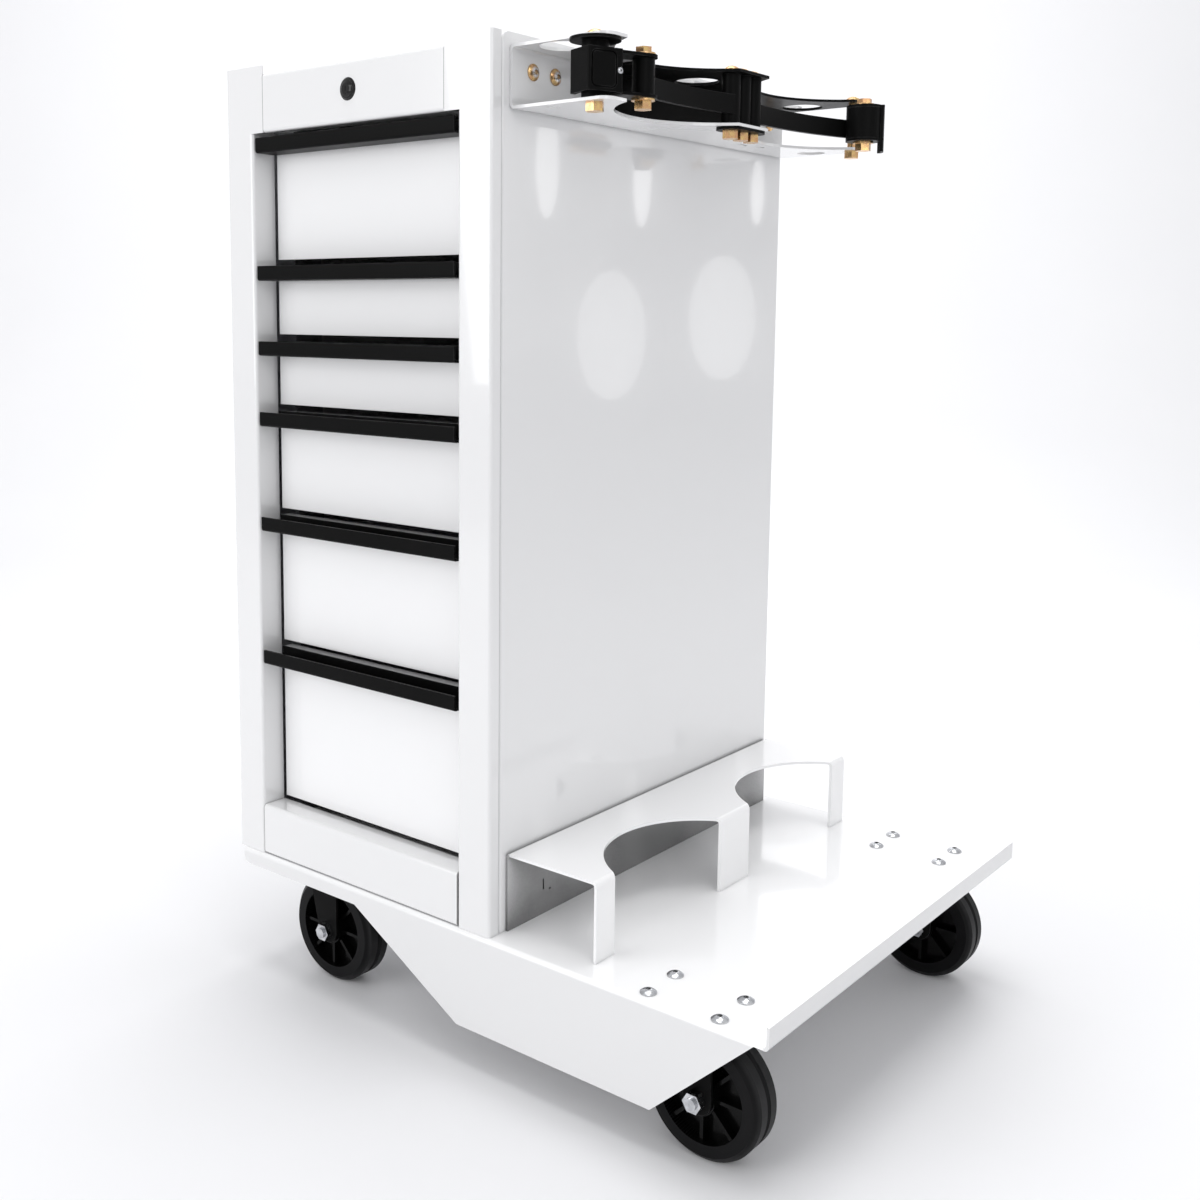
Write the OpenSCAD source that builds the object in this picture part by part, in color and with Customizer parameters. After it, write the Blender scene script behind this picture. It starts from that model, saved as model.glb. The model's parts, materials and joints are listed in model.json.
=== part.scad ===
// Dual tank cart: a six-drawer cabinet and a two-cylinder platform on one bent deck with four casters.
// Millimetres, +Z up. The origin is on the floor, under the middle of the cart's outer box.

/* [Cabinet] */
// Width of the cabinet
cabinet_width = 404; // [380:1:440]
// Depth of the cabinet from its front frame to its back
cabinet_depth = 552; // [500:1:620]
// Height of the cabinet above the deck
cabinet_height = 915; // [895:1:960]
// Thickness of the side, back, top and floor panels
panel_sheet = 1.5; // [1:0.1:2]
// Thickness of the front frame
frame_sheet = 2; // [1.5:0.1:2.5]
// Width of a stile beside the drawers
stile_width = 45; // [38:1:52]
// How much wider a stile is beside the top rail
stile_tab = 18; // [10:1:26]
// Depth of a stile's outer return along the cabinet's side
stile_return = 14; // [10:1:20]
// Depth of a stile's inner return beside the drawers
stile_reveal = 31; // [28:1:40]
// Outer bend radius of the front frame
frame_bend = 4; // [3:0.5:5]
// Height of the top rail
top_rail_height = 64; // [54:1:70]
// Height of the bottom rail
bottom_rail_height = 60; // [50:1:66]
// How far the top rail lies below the stiles' ends
rail_step = 9; // [6:1:12]
// Gap between a stile's outer return and the side panel
panel_seam = 1.5; // [1:0.1:2.5]
// Rounding of the side panel's upper front corner
panel_corner = 10; // [6:1:16]
// Width of the flanges folded in around the panels
panel_flange = 12; // [10:1:16]
// Height of the floor panel above the deck
floor_height = 34; // [28:1:44]

/* [Lock] */
// Diameter of the lock's collar
lock_collar = 25; // [22:0.5:28]
// Height of the lock's domed face
lock_dome = 4; // [3:0.25:5]
// Diameter of the lock's barrel
lock_barrel_size = 19; // [16:0.5:20]
// Length of the barrel behind the rail
lock_length = 22; // [18:1:28]
// Diameter of the turning plug
lock_plug_size = 11; // [9:0.5:12]

/* [Drawers] */
// Heights of the six drawers, from the top one down, each with its gap
drawer_pitches = [142, 85, 81, 122, 158, 184];
// Gap above the first pull and under the last front
opening_gap = 5; // [4:0.5:7]
// Distance of the drawer fronts behind the frame's face
front_recess = 31; // [28:0.5:33]
// Thickness of the drawers' sheet
drawer_sheet = 1.2; // [1:0.1:1.5]
// Thickness of a folded drawer front
front_depth = 12; // [9:0.5:15]
// Gap between a drawer front and the opening at each side
front_gap = 5; // [3:0.5:6]
// Gap under a drawer front, above the next pull
front_lift = 8; // [6:0.5:10]
// Distance of a tray's back from the cabinet's back
tray_inset = 39; // [30:1:60]
// Space under a tray, above its front's lower edge
tray_lift = 6; // [4:0.5:8]
// Distance of a tray's rim below its pull's upper edge
tray_drop = 20; // [18:1:24]

/* [Pulls] */
// Height of a pull's front lip
lip_height = 16.5; // [14:0.5:19]
// Thickness of a pull's walls
pull_wall = 2.4; // [2:0.1:3]
// Outer bend radius of a pull
pull_bend = 3; // [2.6:0.1:4]
// Distance of a pull's lip from the opening at each side
pull_gap = 4.5; // [3:0.5:6]

/* [Drawer slides] */
// Width that a slide takes beside the tray
slide_space = 12.7; // [12:0.1:14]
// Height of a slide's outer member
slide_height = 45; // [36:1:46]
// Thickness of the slides' sheet
slide_sheet = 1.5; // [1.2:0.1:1.8]
// How much shorter a slide is than its tray
slide_inset = 20; // [10:1:40]
// Height of the inner member that moves with the tray
runner_height = 30; // [24:1:31]
// Width of the inner member
runner_width = 8; // [7:0.2:9]
// Width of an upright that carries the slides
upright_width = 40; // [30:1:50]
// Distance of the front uprights behind the frame's face
upright_front = 60; // [50:1:90]
// Distance of the back uprights from the cabinet's back
upright_inset = 112; // [100:1:130]

/* [Deck] */
// Thickness of the deck, saddle and bracket sheet
deck_sheet = 3; // [2.5:0.1:3.5]
// Height of the deck's top above the floor
deck_height = 149.5; // [148:0.5:160]
// How far the deck reaches in front of the cabinet
deck_front = 4; // [3:0.5:10]
// How far the deck reaches behind the cabinet
deck_back = 17; // [10:1:30]
// How far the deck's left edge lies inside the cabinet's left side
deck_left_inset = 12; // [0:1:20]
// Length of the tank platform, from the cabinet to the outer face of its lip
platform_length = 333.5; // [310:0.5:380]
// Height of the lip above the platform
lip_rise = 20; // [12:1:26]
// Outer bend radius of the deck
deck_bend = 5; // [4:0.5:7]
// Depth of the skirts' low part below the deck's top
skirt_depth = 106; // [90:1:112]
// Depth of the skirts' shallow part under the cabinet
skirt_shallow = 18; // [14:0.5:20]
// Where the shallow part ends, left of the platform
skirt_slope_start = 199; // [180:1:210]
// Where the low part begins, left of the platform
skirt_low_start = 43; // [30:1:60]
// Where the low part ends, on the platform
skirt_low_end = 207; // [190:1:220]
// Distance of the skirts' upper right corner from the platform's end
skirt_end_inset = 16; // [12:1:24]
// Rounding of the skirts' low corners
skirt_corner = 10; // [6:1:16]

/* [Tank saddle] */
// Distance of the tanks' centres from the cabinet
tank_reach = 169; // [164:1:176]
// Distance from the bracket's front edge to the side of the front tank
tank_front_inset = 19; // [14:0.5:26]
// Distance from the bracket's back edge to the side of the rear tank
tank_back_inset = 20.5; // [14:0.5:28]
// Least distance between the rounds of the two tanks
tank_gap = 36.5; // [30:0.5:44]
// Height of the saddle
saddle_height = 85; // [70:1:110]
// Distance from the cabinet to the saddle's outer face
saddle_reach = 119; // [116:1:124]
// Distance of the saddle's front edge behind the frame's face
saddle_front = 26; // [20:1:32]
// Distance of the saddle's back edge from the cabinet's back
saddle_back = 2; // [0:1:12]
// Outer bend radius of the saddle and of the bracket
saddle_bend = 6; // [5:0.5:8]
// Width of the slot in the saddle's back flange
saddle_slot = 2.5; // [2:0.25:4]
// Height of that slot
saddle_slot_height = 12; // [8:1:16]

/* [Tank bracket] */
// Distance of the bracket's top below the cabinet's top
bracket_drop = 12; // [10:0.5:40]
// Height of the bracket
bracket_height = 61.5; // [56:0.5:66]
// Rounding of the bracket's outer horn corners
horn_corner = 14; // [8:1:16]
// Width of the upper flange where the black plate lies under it
flange_strip = 30; // [24:1:40]
// Diameter of the large holes in the upper flange
flange_hole = 49; // [36:1:52]
// Distance of the large holes from the cabinet
flange_hole_reach = 46; // [42:0.5:50]
// Diameter of the hole in the lower flange
lower_hole = 33; // [24:1:36]
// Length of the small slots in the lower flange
flange_slot = 16; // [12:1:20]
// Width of the small slots
flange_slot_width = 7; // [5:0.5:9]
// Diameter of the bracket's wall bolts
bracket_bolt = 8; // [6:0.5:10]

/* [Gates] */
// Distance of the gates' pivots from the cabinet
pivot_reach = 103; // [101:0.5:106]
// Distance between neighbouring posts at the middle horn
post_pitch = 21; // [20.5:0.1:24]
// Diameter of the gates' sleeves and posts
sleeve_size = 20; // [18:0.5:20]
// Diameter of the gate and latch bolts
gate_bolt = 10; // [8:0.5:12]
// Radial gap of a bolt in its turning sleeve
bolt_play = 0.05; // [0.02:0.01:0.1]
// Thickness of the black plates
gate_plate = 3; // [2.5:0.1:3.5]
// Distance along the cart from the front gate's free end to the front horn's bolt
gate_inset = 51.25; // [48:0.25:56]
// How far a closed gate's free end lies outside its pivot
gate_splay = 10; // [8:0.5:12]
// Opening angle of the rear gate as it stands
rear_gate_rest = 13; // [0:0.5:20]
// Height of a gate's strap
strap_height = 20; // [14:0.5:22]
// Thickness of a gate's strap
strap_thickness = 5; // [4:0.25:6]
// Height of the front strap's lower edge above the bracket's underside
strap_rise = 13; // [9:0.5:14]
// Height of the front gate's end tube above the bracket's underside
end_rise = 10.7; // [9:0.1:12]
// How much lower the rear gate's strap and drum lie
rear_drop = 5; // [0:0.5:6]
// Sideways bow of a strap
strap_bow = 9; // [6:0.5:12]
// Diameter of the front gate's end tube
end_tube = 22; // [20:0.5:24]
// Diameter of the rear gate's end drum
end_drum = 40; // [36:0.5:42]
// Height of the end tube and drum
end_height = 34; // [30:0.5:36]

/* [Latch block] */
// Diameter of the spool at the front horn
spool_size = 26; // [22:0.5:28]
// Diameter of the disc over the spool
spool_disc = 49; // [40:1:50]
// Distance of the front horn's bolt from the cabinet
horn_bolt_reach = 94; // [94:0.5:101]
// Distance of the rear horn's bolt from the cabinet
rear_bolt_reach = 110; // [106:0.5:111]
// Distance of the rear horn's bolt from the bracket's back edge
rear_bolt_inset = 20; // [16:0.5:22]
// How far the rear latch hook is turned back round its drum
hook_turn = 50; // [0:1:60]
// Height of the latch block
latch_height = 40; // [34:0.5:42]
// Thickness of the latch block's walls
latch_wall = 5; // [4:0.25:6]
// Gap between the latch block and the spool
latch_gap = 1.5; // [1:0.1:2]
// Diameter of the latch ears
latch_ear = 27; // [25:0.5:28]
// Thickness of the latch ears
ear_sheet = 3; // [2.5:0.1:3.5]

/* [Casters] */
// Diameter of the wheels
wheel_size = 127; // [118:1:128]
// Width of the wheels at the tread
wheel_width = 38; // [34:1:40]
// Width of the wheels' hubs
hub_width = 42; // [41:0.5:44]
// Diameter of the wheels' hubs
hub_size = 34; // [30:0.5:38]
// Inner diameter of the wheels' rims
rim_size = 92; // [84:1:96]
// Thickness of the wheels' discs
disc_width = 12; // [9:0.5:16]
// Diameter of the axle bolts
axle_size = 12; // [10:0.5:14]
// Radial gap of an axle in its wheel, and of a kingpin in its fork
axle_play = 0.05; // [0.02:0.01:0.1]
// Thickness of a fork's legs
leg_sheet = 3; // [2.5:0.1:4]
// Width of a fork's leg at its top
leg_width = 48.5; // [44:0.5:54]
// Radius of a fork's leg around its axle
leg_end = 15; // [13:0.5:15]
// Gap between a fork's leg and the wheel's hub
leg_gap = 0.4; // [0.3:0.05:0.6]
// How far an axle trails its caster's plate centre
caster_trail = 18; // [14:0.5:20]
// Thickness of a caster's plate
caster_plate = 4; // [3:0.25:5]
// Length of a caster's plate
caster_plate_length = 104; // [100:1:110]
// Width of a caster's plate
caster_plate_width = 72; // [68:1:76]
// Distance of a caster's bolts along the plate
caster_bolt_length = 80; // [78:0.5:84]
// Distance of a caster's bolts across the plate
caster_bolt_width = 46; // [44:0.5:50]
// Diameter of the caster bolts
caster_bolt = 8; // [6:0.5:10]
// Diameter of a button head
button_head = 16.7; // [14:0.1:18]
// Height of a button head
button_height = 4.6; // [4:0.1:5.5]
// Height of the race between a swivel plate and its fork
race_height = 7; // [6:0.25:8]
// Diameter of the swivel race
race_size = 62; // [56:1:66]
// Running gap in the swivel race
race_gap = 0.4; // [0.3:0.05:0.6]
// Diameter of a kingpin
kingpin_size = 12; // [10:0.5:14]
// Distance of the platform's caster plates from its end
right_caster_inset = 101.5; // [98:0.5:110]
// Distance of the cabinet's caster plates from the cabinet's left side
left_caster_inset = 102; // [96:0.5:110]
// Distance of the platform's front caster from the deck's front edge
caster_front_inset = 40; // [38:0.5:48]
// Distance of the platform's rear caster from the deck's back edge
caster_back_inset = 47.5; // [40:0.5:54]
// How much closer together the cabinet's casters stand, at each end
left_caster_offset = 20; // [16:0.5:26]

/* [Hidden] */
$fn = 64;

// Colours
white_paint = "white";
black_paint = "#151517";
zinc = "silver";
gold_zinc = "#c8963c";
steel = "#9a9ca0";

// Overrun of every cut
cut = 1;
// Gap that keeps pieces of different bodies apart
body_gap = 0.3;

// Half of a size, as used for radii and middles
half_share = 0.5;
frame_x = (cabinet_width - platform_length) * half_share;
frame_y = -(cabinet_depth + deck_back - deck_front) * half_share;

// Opening of the front frame, seen from the deck's top
opening_base = bottom_rail_height;
opening_top = cabinet_height - rail_step - top_rail_height;
opening_width = cabinet_width - 2 * stile_width;
opening_left = stile_width - cabinet_width;

// Running sums of the drawer pitches give the upper edges of the pulls
function sum_before(list, i) = i <= 0 ? 0 : list[i - 1] + sum_before(list, i - 1);
drawer_total = sum_before(drawer_pitches, len(drawer_pitches));
drawer_scale = (opening_top - opening_base - 2 * opening_gap) / drawer_total;
function pull_top(i) = opening_top - opening_gap - drawer_scale * sum_before(drawer_pitches, i);
function front_base(i) = pull_top(i + 1) + (i + 1 < len(drawer_pitches) ? front_lift : 0);
tray_width = opening_width - 2 * slide_space;
tray_left = opening_left + slide_space;
tray_depth = cabinet_depth - front_recess - front_depth - tray_inset;
slide_length = tray_depth - slide_inset;
upright_back = cabinet_depth - upright_inset;

// Places of the tanks and of the bracket's horns
saddle_length = cabinet_depth - saddle_front - saddle_back;
tank_round = (saddle_length - tank_front_inset - tank_gap - tank_back_inset) * half_share;
tank_pitch = tank_round + tank_gap;
tank_front = saddle_front + tank_front_inset + tank_round * half_share;
tank_rear = tank_front + tank_pitch;
tank_middle = tank_front + tank_pitch * half_share;
bracket_top = cabinet_height - bracket_drop;
bracket_base = bracket_top - bracket_height;
horn_front = saddle_front + horn_corner;
horn_rear = saddle_front + saddle_length - horn_corner;
horn_bolts_at = [[horn_bolt_reach, horn_front],
    [rear_bolt_reach, saddle_front + saddle_length - rear_bolt_inset]];
flange_inside = bracket_top - deck_sheet;
sleeve_base = bracket_base + deck_sheet;
sleeve_top = flange_inside - gate_plate;
front_pivot = tank_middle - post_pitch;
rear_pivot = tank_middle + post_pitch;
gate_length = front_pivot - horn_front - gate_inset;
strap_base = bracket_base + strap_rise;
end_base = bracket_base + end_rise;
end_top = end_base + end_height;
closed_angle = asin(gate_splay / gate_length);

// Heights of the casters' pieces, from the deck's top
wheel_axis = wheel_size * half_share - deck_height;
plate_top = -deck_sheet;
plate_base = plate_top - caster_plate;
bridge_top = plate_base - race_height;
leg_offset = hub_width * half_share + leg_gap;
right_caster_front = caster_front_inset - deck_front;
right_caster_pitch = cabinet_depth + deck_back - caster_back_inset - right_caster_front;
right_caster_x = platform_length - right_caster_inset;
left_caster_x = left_caster_inset - cabinet_width;
left_caster_front = right_caster_front + left_caster_offset;
left_caster_pitch = right_caster_pitch - 2 * left_caster_offset;
axle_nut_share = 1.5;
axle_nut = axle_size * axle_nut_share;
nut_height_share = 0.8;
nut_height = axle_size * nut_height_share;
axle_end_share = 1.3;
axle_head_share = 0.8;

// Proportions of the screws and nuts, as shares of the head or of the bolt
socket_share = 0.34;
dome_share = 0.72;
socket_base_share = 0.45;
nut_share = 1.6;
nut_end_share = 0.85;
thin_nut_share = 1.5;
bolt_head_share = 0.55;
tall_nut_share = 1.6;
end_nut_share = 1.5;
washer_share = 0.35;
washer_size_share = 2.3;

module in_frame() {
    translate([frame_x, frame_y, deck_height]) children();
}

// General shapes

module quarter_bend(outer, sheet) {
    difference() {
        circle(outer);
        circle(outer - sheet);
        translate([0, -outer - cut]) square(2 * (outer + cut));
        translate([-outer - cut, 0]) square(2 * (outer + cut));
    }
}

// A sheet lying along X with its outer face at Y = 0 and returns that rise at its two ends
module channel_profile(width, left_return, right_return, sheet, bend) {
    left_bend = left_return > 0 ? bend : 0;
    right_bend = right_return > 0 ? bend : 0;
    translate([left_bend, 0]) square([width - left_bend - right_bend, sheet]);
    if (left_return > 0) {
        translate([bend, bend]) quarter_bend(bend, sheet);
        translate([0, bend]) square([sheet, left_return - bend]);
    }
    if (right_return > 0) {
        translate([width - bend, bend]) mirror([1, 0]) quarter_bend(bend, sheet);
        translate([width - sheet, bend]) square([sheet, right_return - bend]);
    }
}

module box_from(low, high) {
    translate(low) cube(high - low);
}

// A plate with its four upright edges rounded
module round_plate(size, height, radius) {
    linear_extrude(height) {
        translate([radius, 0]) square([size.x - 2 * radius, size.y]);
        translate([0, radius]) square([size.x, size.y - 2 * radius]);
        for (x = [radius, size.x - radius], y = [radius, size.y - radius]) {
            translate([x, y]) circle(radius);
        }
    }
}

module button_screw(head, height, shank, length) {
    socket = head * socket_share;
    difference() {
        union() {
            rotate_extrude() {
                intersection() {
                    square([head * half_share, height]);
                    translate([0, height - head * dome_share]) circle(head * dome_share);
                }
            }
            translate([0, 0, -length]) cylinder(d = shank, h = length + height * half_share);
        }
        translate([0, 0, height * socket_base_share]) cylinder(d = socket, h = height, $fn = 6);
    }
}

module hex_nut(across, height) {
    cylinder(d = across / cos(30), h = height, $fn = 6);
}

// Cabinet

module side_pan() {
    front = stile_return + panel_seam;
    intersection() {
        translate([0, front, 0]) rotate([0, 0, 90]) mirror([0, 1, 0]) linear_extrude(cabinet_height)
            channel_profile(cabinet_depth - front, panel_flange, 0, panel_sheet, frame_bend);
        translate([-cut, front, 0]) rotate([90, 0, 90]) linear_extrude(panel_flange + 2 * cut) {
            square([cabinet_depth - front, cabinet_height - panel_corner]);
            translate([panel_corner, 0]) square([cabinet_depth - front - panel_corner, cabinet_height]);
            translate([panel_corner, cabinet_height - panel_corner]) circle(panel_corner);
        }
    }
}

module left_side_panel() color(white_paint) in_frame() {
    translate([-cabinet_width, 0, 0]) side_pan();
}

module right_side_panel() color(white_paint) in_frame() {
    mirror([1, 0, 0]) side_pan();
}

module back_panel() color(white_paint) in_frame() {
    translate([-panel_sheet, cabinet_depth, 0]) rotate([0, 0, 180]) linear_extrude(cabinet_height)
        channel_profile(cabinet_width - 2 * panel_sheet, panel_flange, panel_flange, panel_sheet,
            frame_bend);
}

module shelf_pan(top) {
    inner = cabinet_width - 2 * panel_sheet;
    front = frame_sheet + stile_reveal;
    back = cabinet_depth - panel_sheet;
    translate([-panel_sheet, front, top]) rotate([-90, 0, 0]) mirror([1, 0, 0])
        linear_extrude(back - front)
            channel_profile(inner, panel_flange, panel_flange, panel_sheet, frame_bend);
}

module top_panel() color(white_paint) in_frame() {
    difference() {
        lower = cabinet_height - rail_step - panel_flange - cut;
        shelf_pan(cabinet_height - rail_step);
        for (x = [-cabinet_width, -panel_flange - 2 * frame_bend - cut]) {
            translate([x, cabinet_depth - panel_flange - 2 * panel_sheet, lower])
                cube([panel_flange + 2 * frame_bend + cut, panel_flange + 2 * panel_sheet,
                    panel_flange + 2 * cut]);
        }
    }
}

module floor_panel() color(white_paint) in_frame() {
    difference() {
        shelf_pan(floor_height);
        lower = floor_height - panel_flange - cut;
        for (x = [-cabinet_width, -panel_flange - 2 * frame_bend - cut]) {
            translate([x, cabinet_depth - panel_flange - 2 * panel_sheet, lower])
                cube([panel_flange + 2 * frame_bend + cut, panel_flange + 2 * panel_sheet,
                    panel_flange + 2 * cut]);
        }
    }
}

// A stile with its outer edge at X = 0, wider beside the top rail
module stile() {
    linear_extrude(opening_top)
        channel_profile(stile_width, stile_return, stile_reveal, frame_sheet, frame_bend);
    translate([0, 0, opening_top]) linear_extrude(cabinet_height - opening_top)
        channel_profile(stile_width + stile_tab, stile_return, 0, frame_sheet, frame_bend);
}

module left_stile() color(white_paint) in_frame() {
    translate([-cabinet_width, 0, 0]) stile();
}

module right_stile() color(white_paint) in_frame() {
    mirror([1, 0, 0]) stile();
}

// A rail between the stiles, with returns folded back along its two edges
module rail(left, width, base, height, lower_return) {
    translate([left, 0, base]) rotate([0, 90, 0]) mirror([1, 0, 0]) linear_extrude(width)
        channel_profile(height, lower_return, stile_reveal, frame_sheet, frame_bend);
}

lock_height_share = 0.54;
lock_height = opening_top + top_rail_height * lock_height_share;
lock_x = -cabinet_width * half_share;
lock_dome_share = 0.8;
cam_share = 1.6;
plug_end_share = 0.9;
keyway_half_share = 0.1;
keyway_reach_share = 0.6;
keyway_base_share = 0.4;

module top_rail() color(white_paint) in_frame() {
    difference() {
        rail(opening_left + stile_tab, opening_width - 2 * stile_tab, opening_top, top_rail_height,
            stile_reveal);
        translate([lock_x, -cut, lock_height]) rotate([-90, 0, 0])
            cylinder(d = lock_barrel_size, h = frame_sheet + 2 * cut);
    }
}

module bottom_rail() color(white_paint) in_frame() {
    rail(opening_left, opening_width, 0, bottom_rail_height, stile_return);
}

module lock_barrel() color(black_paint) in_frame() {
    translate([lock_x, 0, lock_height]) rotate([90, 0, 0]) difference() {
        union() {
            rotate_extrude() intersection() {
                square([lock_collar * half_share, lock_dome]);
                translate([0, lock_dome - lock_collar * lock_dome_share])
                    circle(lock_collar * lock_dome_share);
            }
            translate([0, 0, -lock_length])
                cylinder(d = lock_barrel_size, h = lock_length + lock_dome * half_share);
        }
        translate([0, 0, -lock_length - cut])
            cylinder(d = lock_plug_size + 2 * bolt_play, h = lock_length + lock_dome + 2 * cut);
    }
}

module lock_plug() color(black_paint) in_frame() {
    cam_length = lock_plug_size * cam_share;
    translate([lock_x, 0, lock_height]) rotate([90, 0, 0]) {
        difference() {
            translate([0, 0, -lock_length - body_gap])
                cylinder(d = lock_plug_size, h = lock_length + body_gap + lock_dome * plug_end_share);
            translate(lock_dome * [-keyway_half_share, -keyway_reach_share, keyway_base_share])
                cube(lock_dome * [2 * keyway_half_share, 2 * keyway_reach_share, 1]);
        }
        translate([-lock_plug_size * half_share, -lock_plug_size * half_share,
            -lock_length - body_gap - frame_sheet])
            cube([cam_length + lock_plug_size * half_share, lock_plug_size, frame_sheet]);
    }
}

// Uprights fill the space between the side panels and the slides
module slide_uprights() color(steel) in_frame() {
    space = stile_width - panel_sheet;
    base = floor_height + body_gap;
    height = opening_top - base;
    for (side = [0, 1], back = [upright_front, upright_back]) {
        translate([-cabinet_width * half_share, 0, 0]) mirror([side, 0, 0])
            translate([-cabinet_width * half_share + panel_sheet, back, base])
                linear_extrude(height) {
                    translate([space - slide_sheet, 0]) square([slide_sheet, upright_width]);
                    square([space, slide_sheet]);
                    translate([0, upright_width - slide_sheet]) square([space, slide_sheet]);
                }
    }
}

// Height of the slides' lower edge for each drawer
function slide_base(i) = front_base(i) + tray_lift + 2 * slide_sheet;
slide_front = front_recess + front_depth + 2 * body_gap;

// A slide's outer member: a thin channel that is open towards the tray
module outer_member() {
    depth = slide_space - body_gap;
    cube([slide_sheet, slide_length, slide_height]);
    for (z = [0, slide_height - slide_sheet]) {
        translate([0, 0, z]) cube([depth - slide_sheet, slide_length, slide_sheet]);
    }
}

module slide_rails() color(steel) in_frame() {
    for (i = [0 : len(drawer_pitches) - 1], side = [0, 1]) {
        translate([-cabinet_width * half_share, 0, 0]) mirror([side, 0, 0])
            translate([opening_left + cabinet_width * half_share, slide_front,
                slide_base(i)]) outer_member();
    }
}

// Drawers, each numbered from the top

module drawer_runners(i) color(zinc) in_frame() {
    lift = slide_base(i) + (slide_height - runner_height) * half_share;
    for (side = [0, 1]) {
        translate([-cabinet_width * half_share, 0, 0]) mirror([side, 0, 0])
            translate([tray_left + cabinet_width * half_share - runner_width, slide_front, lift])
                cube([runner_width, slide_length - body_gap, runner_height]);
    }
}

module drawer_tray(i) color(white_paint) in_frame() {
    base = front_base(i);
    top = pull_top(i);
    front_width = opening_width - 2 * front_gap;
    tray_base = base + tray_lift;
    tray_top = top - tray_drop;
    // Front pan, hollow behind
    translate([opening_left + front_gap, front_recess, base]) difference() {
        cube([front_width, front_depth, top - base]);
        translate([drawer_sheet, drawer_sheet, drawer_sheet])
            cube([front_width - 2 * drawer_sheet, front_depth + cut, top - base - 2 * drawer_sheet]);
    }
    // Tray, open at the top
    translate([tray_left, front_recess + drawer_sheet, tray_base]) difference() {
        cube([tray_width, front_depth + tray_depth - drawer_sheet, tray_top - tray_base]);
        translate([drawer_sheet, front_depth, drawer_sheet])
            cube([tray_width - 2 * drawer_sheet, tray_depth - 2 * drawer_sheet, tray_top - tray_base]);
        translate([drawer_sheet, -cut, drawer_sheet])
            cube([tray_width - 2 * drawer_sheet, front_depth + cut - drawer_sheet, tray_top - tray_base]);
    }
}

// A pull: a channel open at its top, with the lip in front and its back on the drawer's front
module drawer_pull(i) color(black_paint) in_frame() {
    translate([opening_left + pull_gap, 0, pull_top(i) - lip_height]) rotate([90, 0, 90])
        linear_extrude(opening_width - 2 * pull_gap)
            channel_profile(front_recess, lip_height, lip_height, pull_wall, pull_bend);
}

module drawer_1_tray() drawer_tray(0);
module drawer_1_pull() drawer_pull(0);
module drawer_1_runners() drawer_runners(0);
module drawer_2_tray() drawer_tray(1);
module drawer_2_pull() drawer_pull(1);
module drawer_2_runners() drawer_runners(1);
module drawer_3_tray() drawer_tray(2);
module drawer_3_pull() drawer_pull(2);
module drawer_3_runners() drawer_runners(2);
module drawer_4_tray() drawer_tray(3);
module drawer_4_pull() drawer_pull(3);
module drawer_4_runners() drawer_runners(3);
module drawer_5_tray() drawer_tray(4);
module drawer_5_pull() drawer_pull(4);
module drawer_5_runners() drawer_runners(4);
module drawer_6_tray() drawer_tray(5);
module drawer_6_pull() drawer_pull(5);
module drawer_6_runners() drawer_runners(5);

// Deck

// Outline of a skirt, seen from the front, with the deck's top at zero
module skirt_outline() {
    left = deck_left_inset - cabinet_width;
    end_x = platform_length - skirt_end_inset;
    difference() {
        polygon([
            [left, 0], [left, -skirt_shallow], [-skirt_slope_start, -skirt_shallow],
            [-skirt_low_start, -skirt_depth], [skirt_low_end, -skirt_depth],
            [end_x, -deck_sheet], [platform_length, -deck_sheet], [platform_length, 0]
        ]);
        translate([left, -skirt_shallow]) difference() {
            translate([-cut, -cut]) square(skirt_corner + cut);
            translate([skirt_corner, skirt_corner]) circle(skirt_corner);
        }
    }
}

module deck_holes() {
    at_caster_bolts() translate([0, 0, -deck_sheet - cut])
        cylinder(d = caster_bolt, h = deck_sheet + 2 * cut);
}

module base_deck() color(white_paint) in_frame() {
    depth = cabinet_depth + deck_front + deck_back;
    left = deck_left_inset - cabinet_width;
    difference() {
        intersection() {
            translate([left, -deck_front, 0]) rotate([90, 0, 90]) mirror([0, 1, 0])
                linear_extrude(platform_length - left - deck_bend)
                    channel_profile(depth, skirt_depth, skirt_depth, deck_sheet, deck_bend);
            translate([0, depth, 0]) rotate([90, 0, 0]) linear_extrude(2 * depth) skirt_outline();
        }
        at_right_casters() deck_holes();
        at_left_casters() deck_holes();
    }
    translate([platform_length - deck_bend - cut, cabinet_depth + deck_back, -deck_sheet]) rotate([90,
        0, 0])
        linear_extrude(depth)
            channel_profile(deck_bend + cut, 0, lip_rise + deck_sheet, deck_sheet, deck_bend);
}

module tank_cuts(base, height) {
    for (y = [tank_front, tank_rear]) {
        translate([tank_reach, y, base - cut]) cylinder(d = tank_round, h = height + 2 * cut, $fn = 128);
    }
}

saddle_slot_share = 0.11;
saddle_slot_height_share = 0.32;
pin_hole_share = 5;

module tank_saddle() color(white_paint) in_frame() {
    slot_y = saddle_front + saddle_length * saddle_slot_share;
    slot_z = saddle_height * saddle_slot_height_share;
    difference() {
        translate([0, saddle_front + saddle_length, saddle_height]) rotate([90, 0, 0]) mirror([0, 1, 0])
            linear_extrude(saddle_length)
                channel_profile(saddle_reach, saddle_height, saddle_height, deck_sheet, saddle_bend);
        tank_cuts(0, saddle_height);
        translate([-cut, slot_y, slot_z]) {
            cube([deck_sheet + 2 * cut, saddle_slot, saddle_slot_height]);
            translate([0, pin_hole_share * saddle_slot, -saddle_slot]) rotate([0, 90, 0])
                cylinder(d = saddle_slot, h = deck_sheet + 2 * cut);
        }
    }
}

// Casters

race_bore_share = 0.62;
race_ring_share = 0.9;
race_inside_share = 0.66;
kingpin_head_share = 2;

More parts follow.
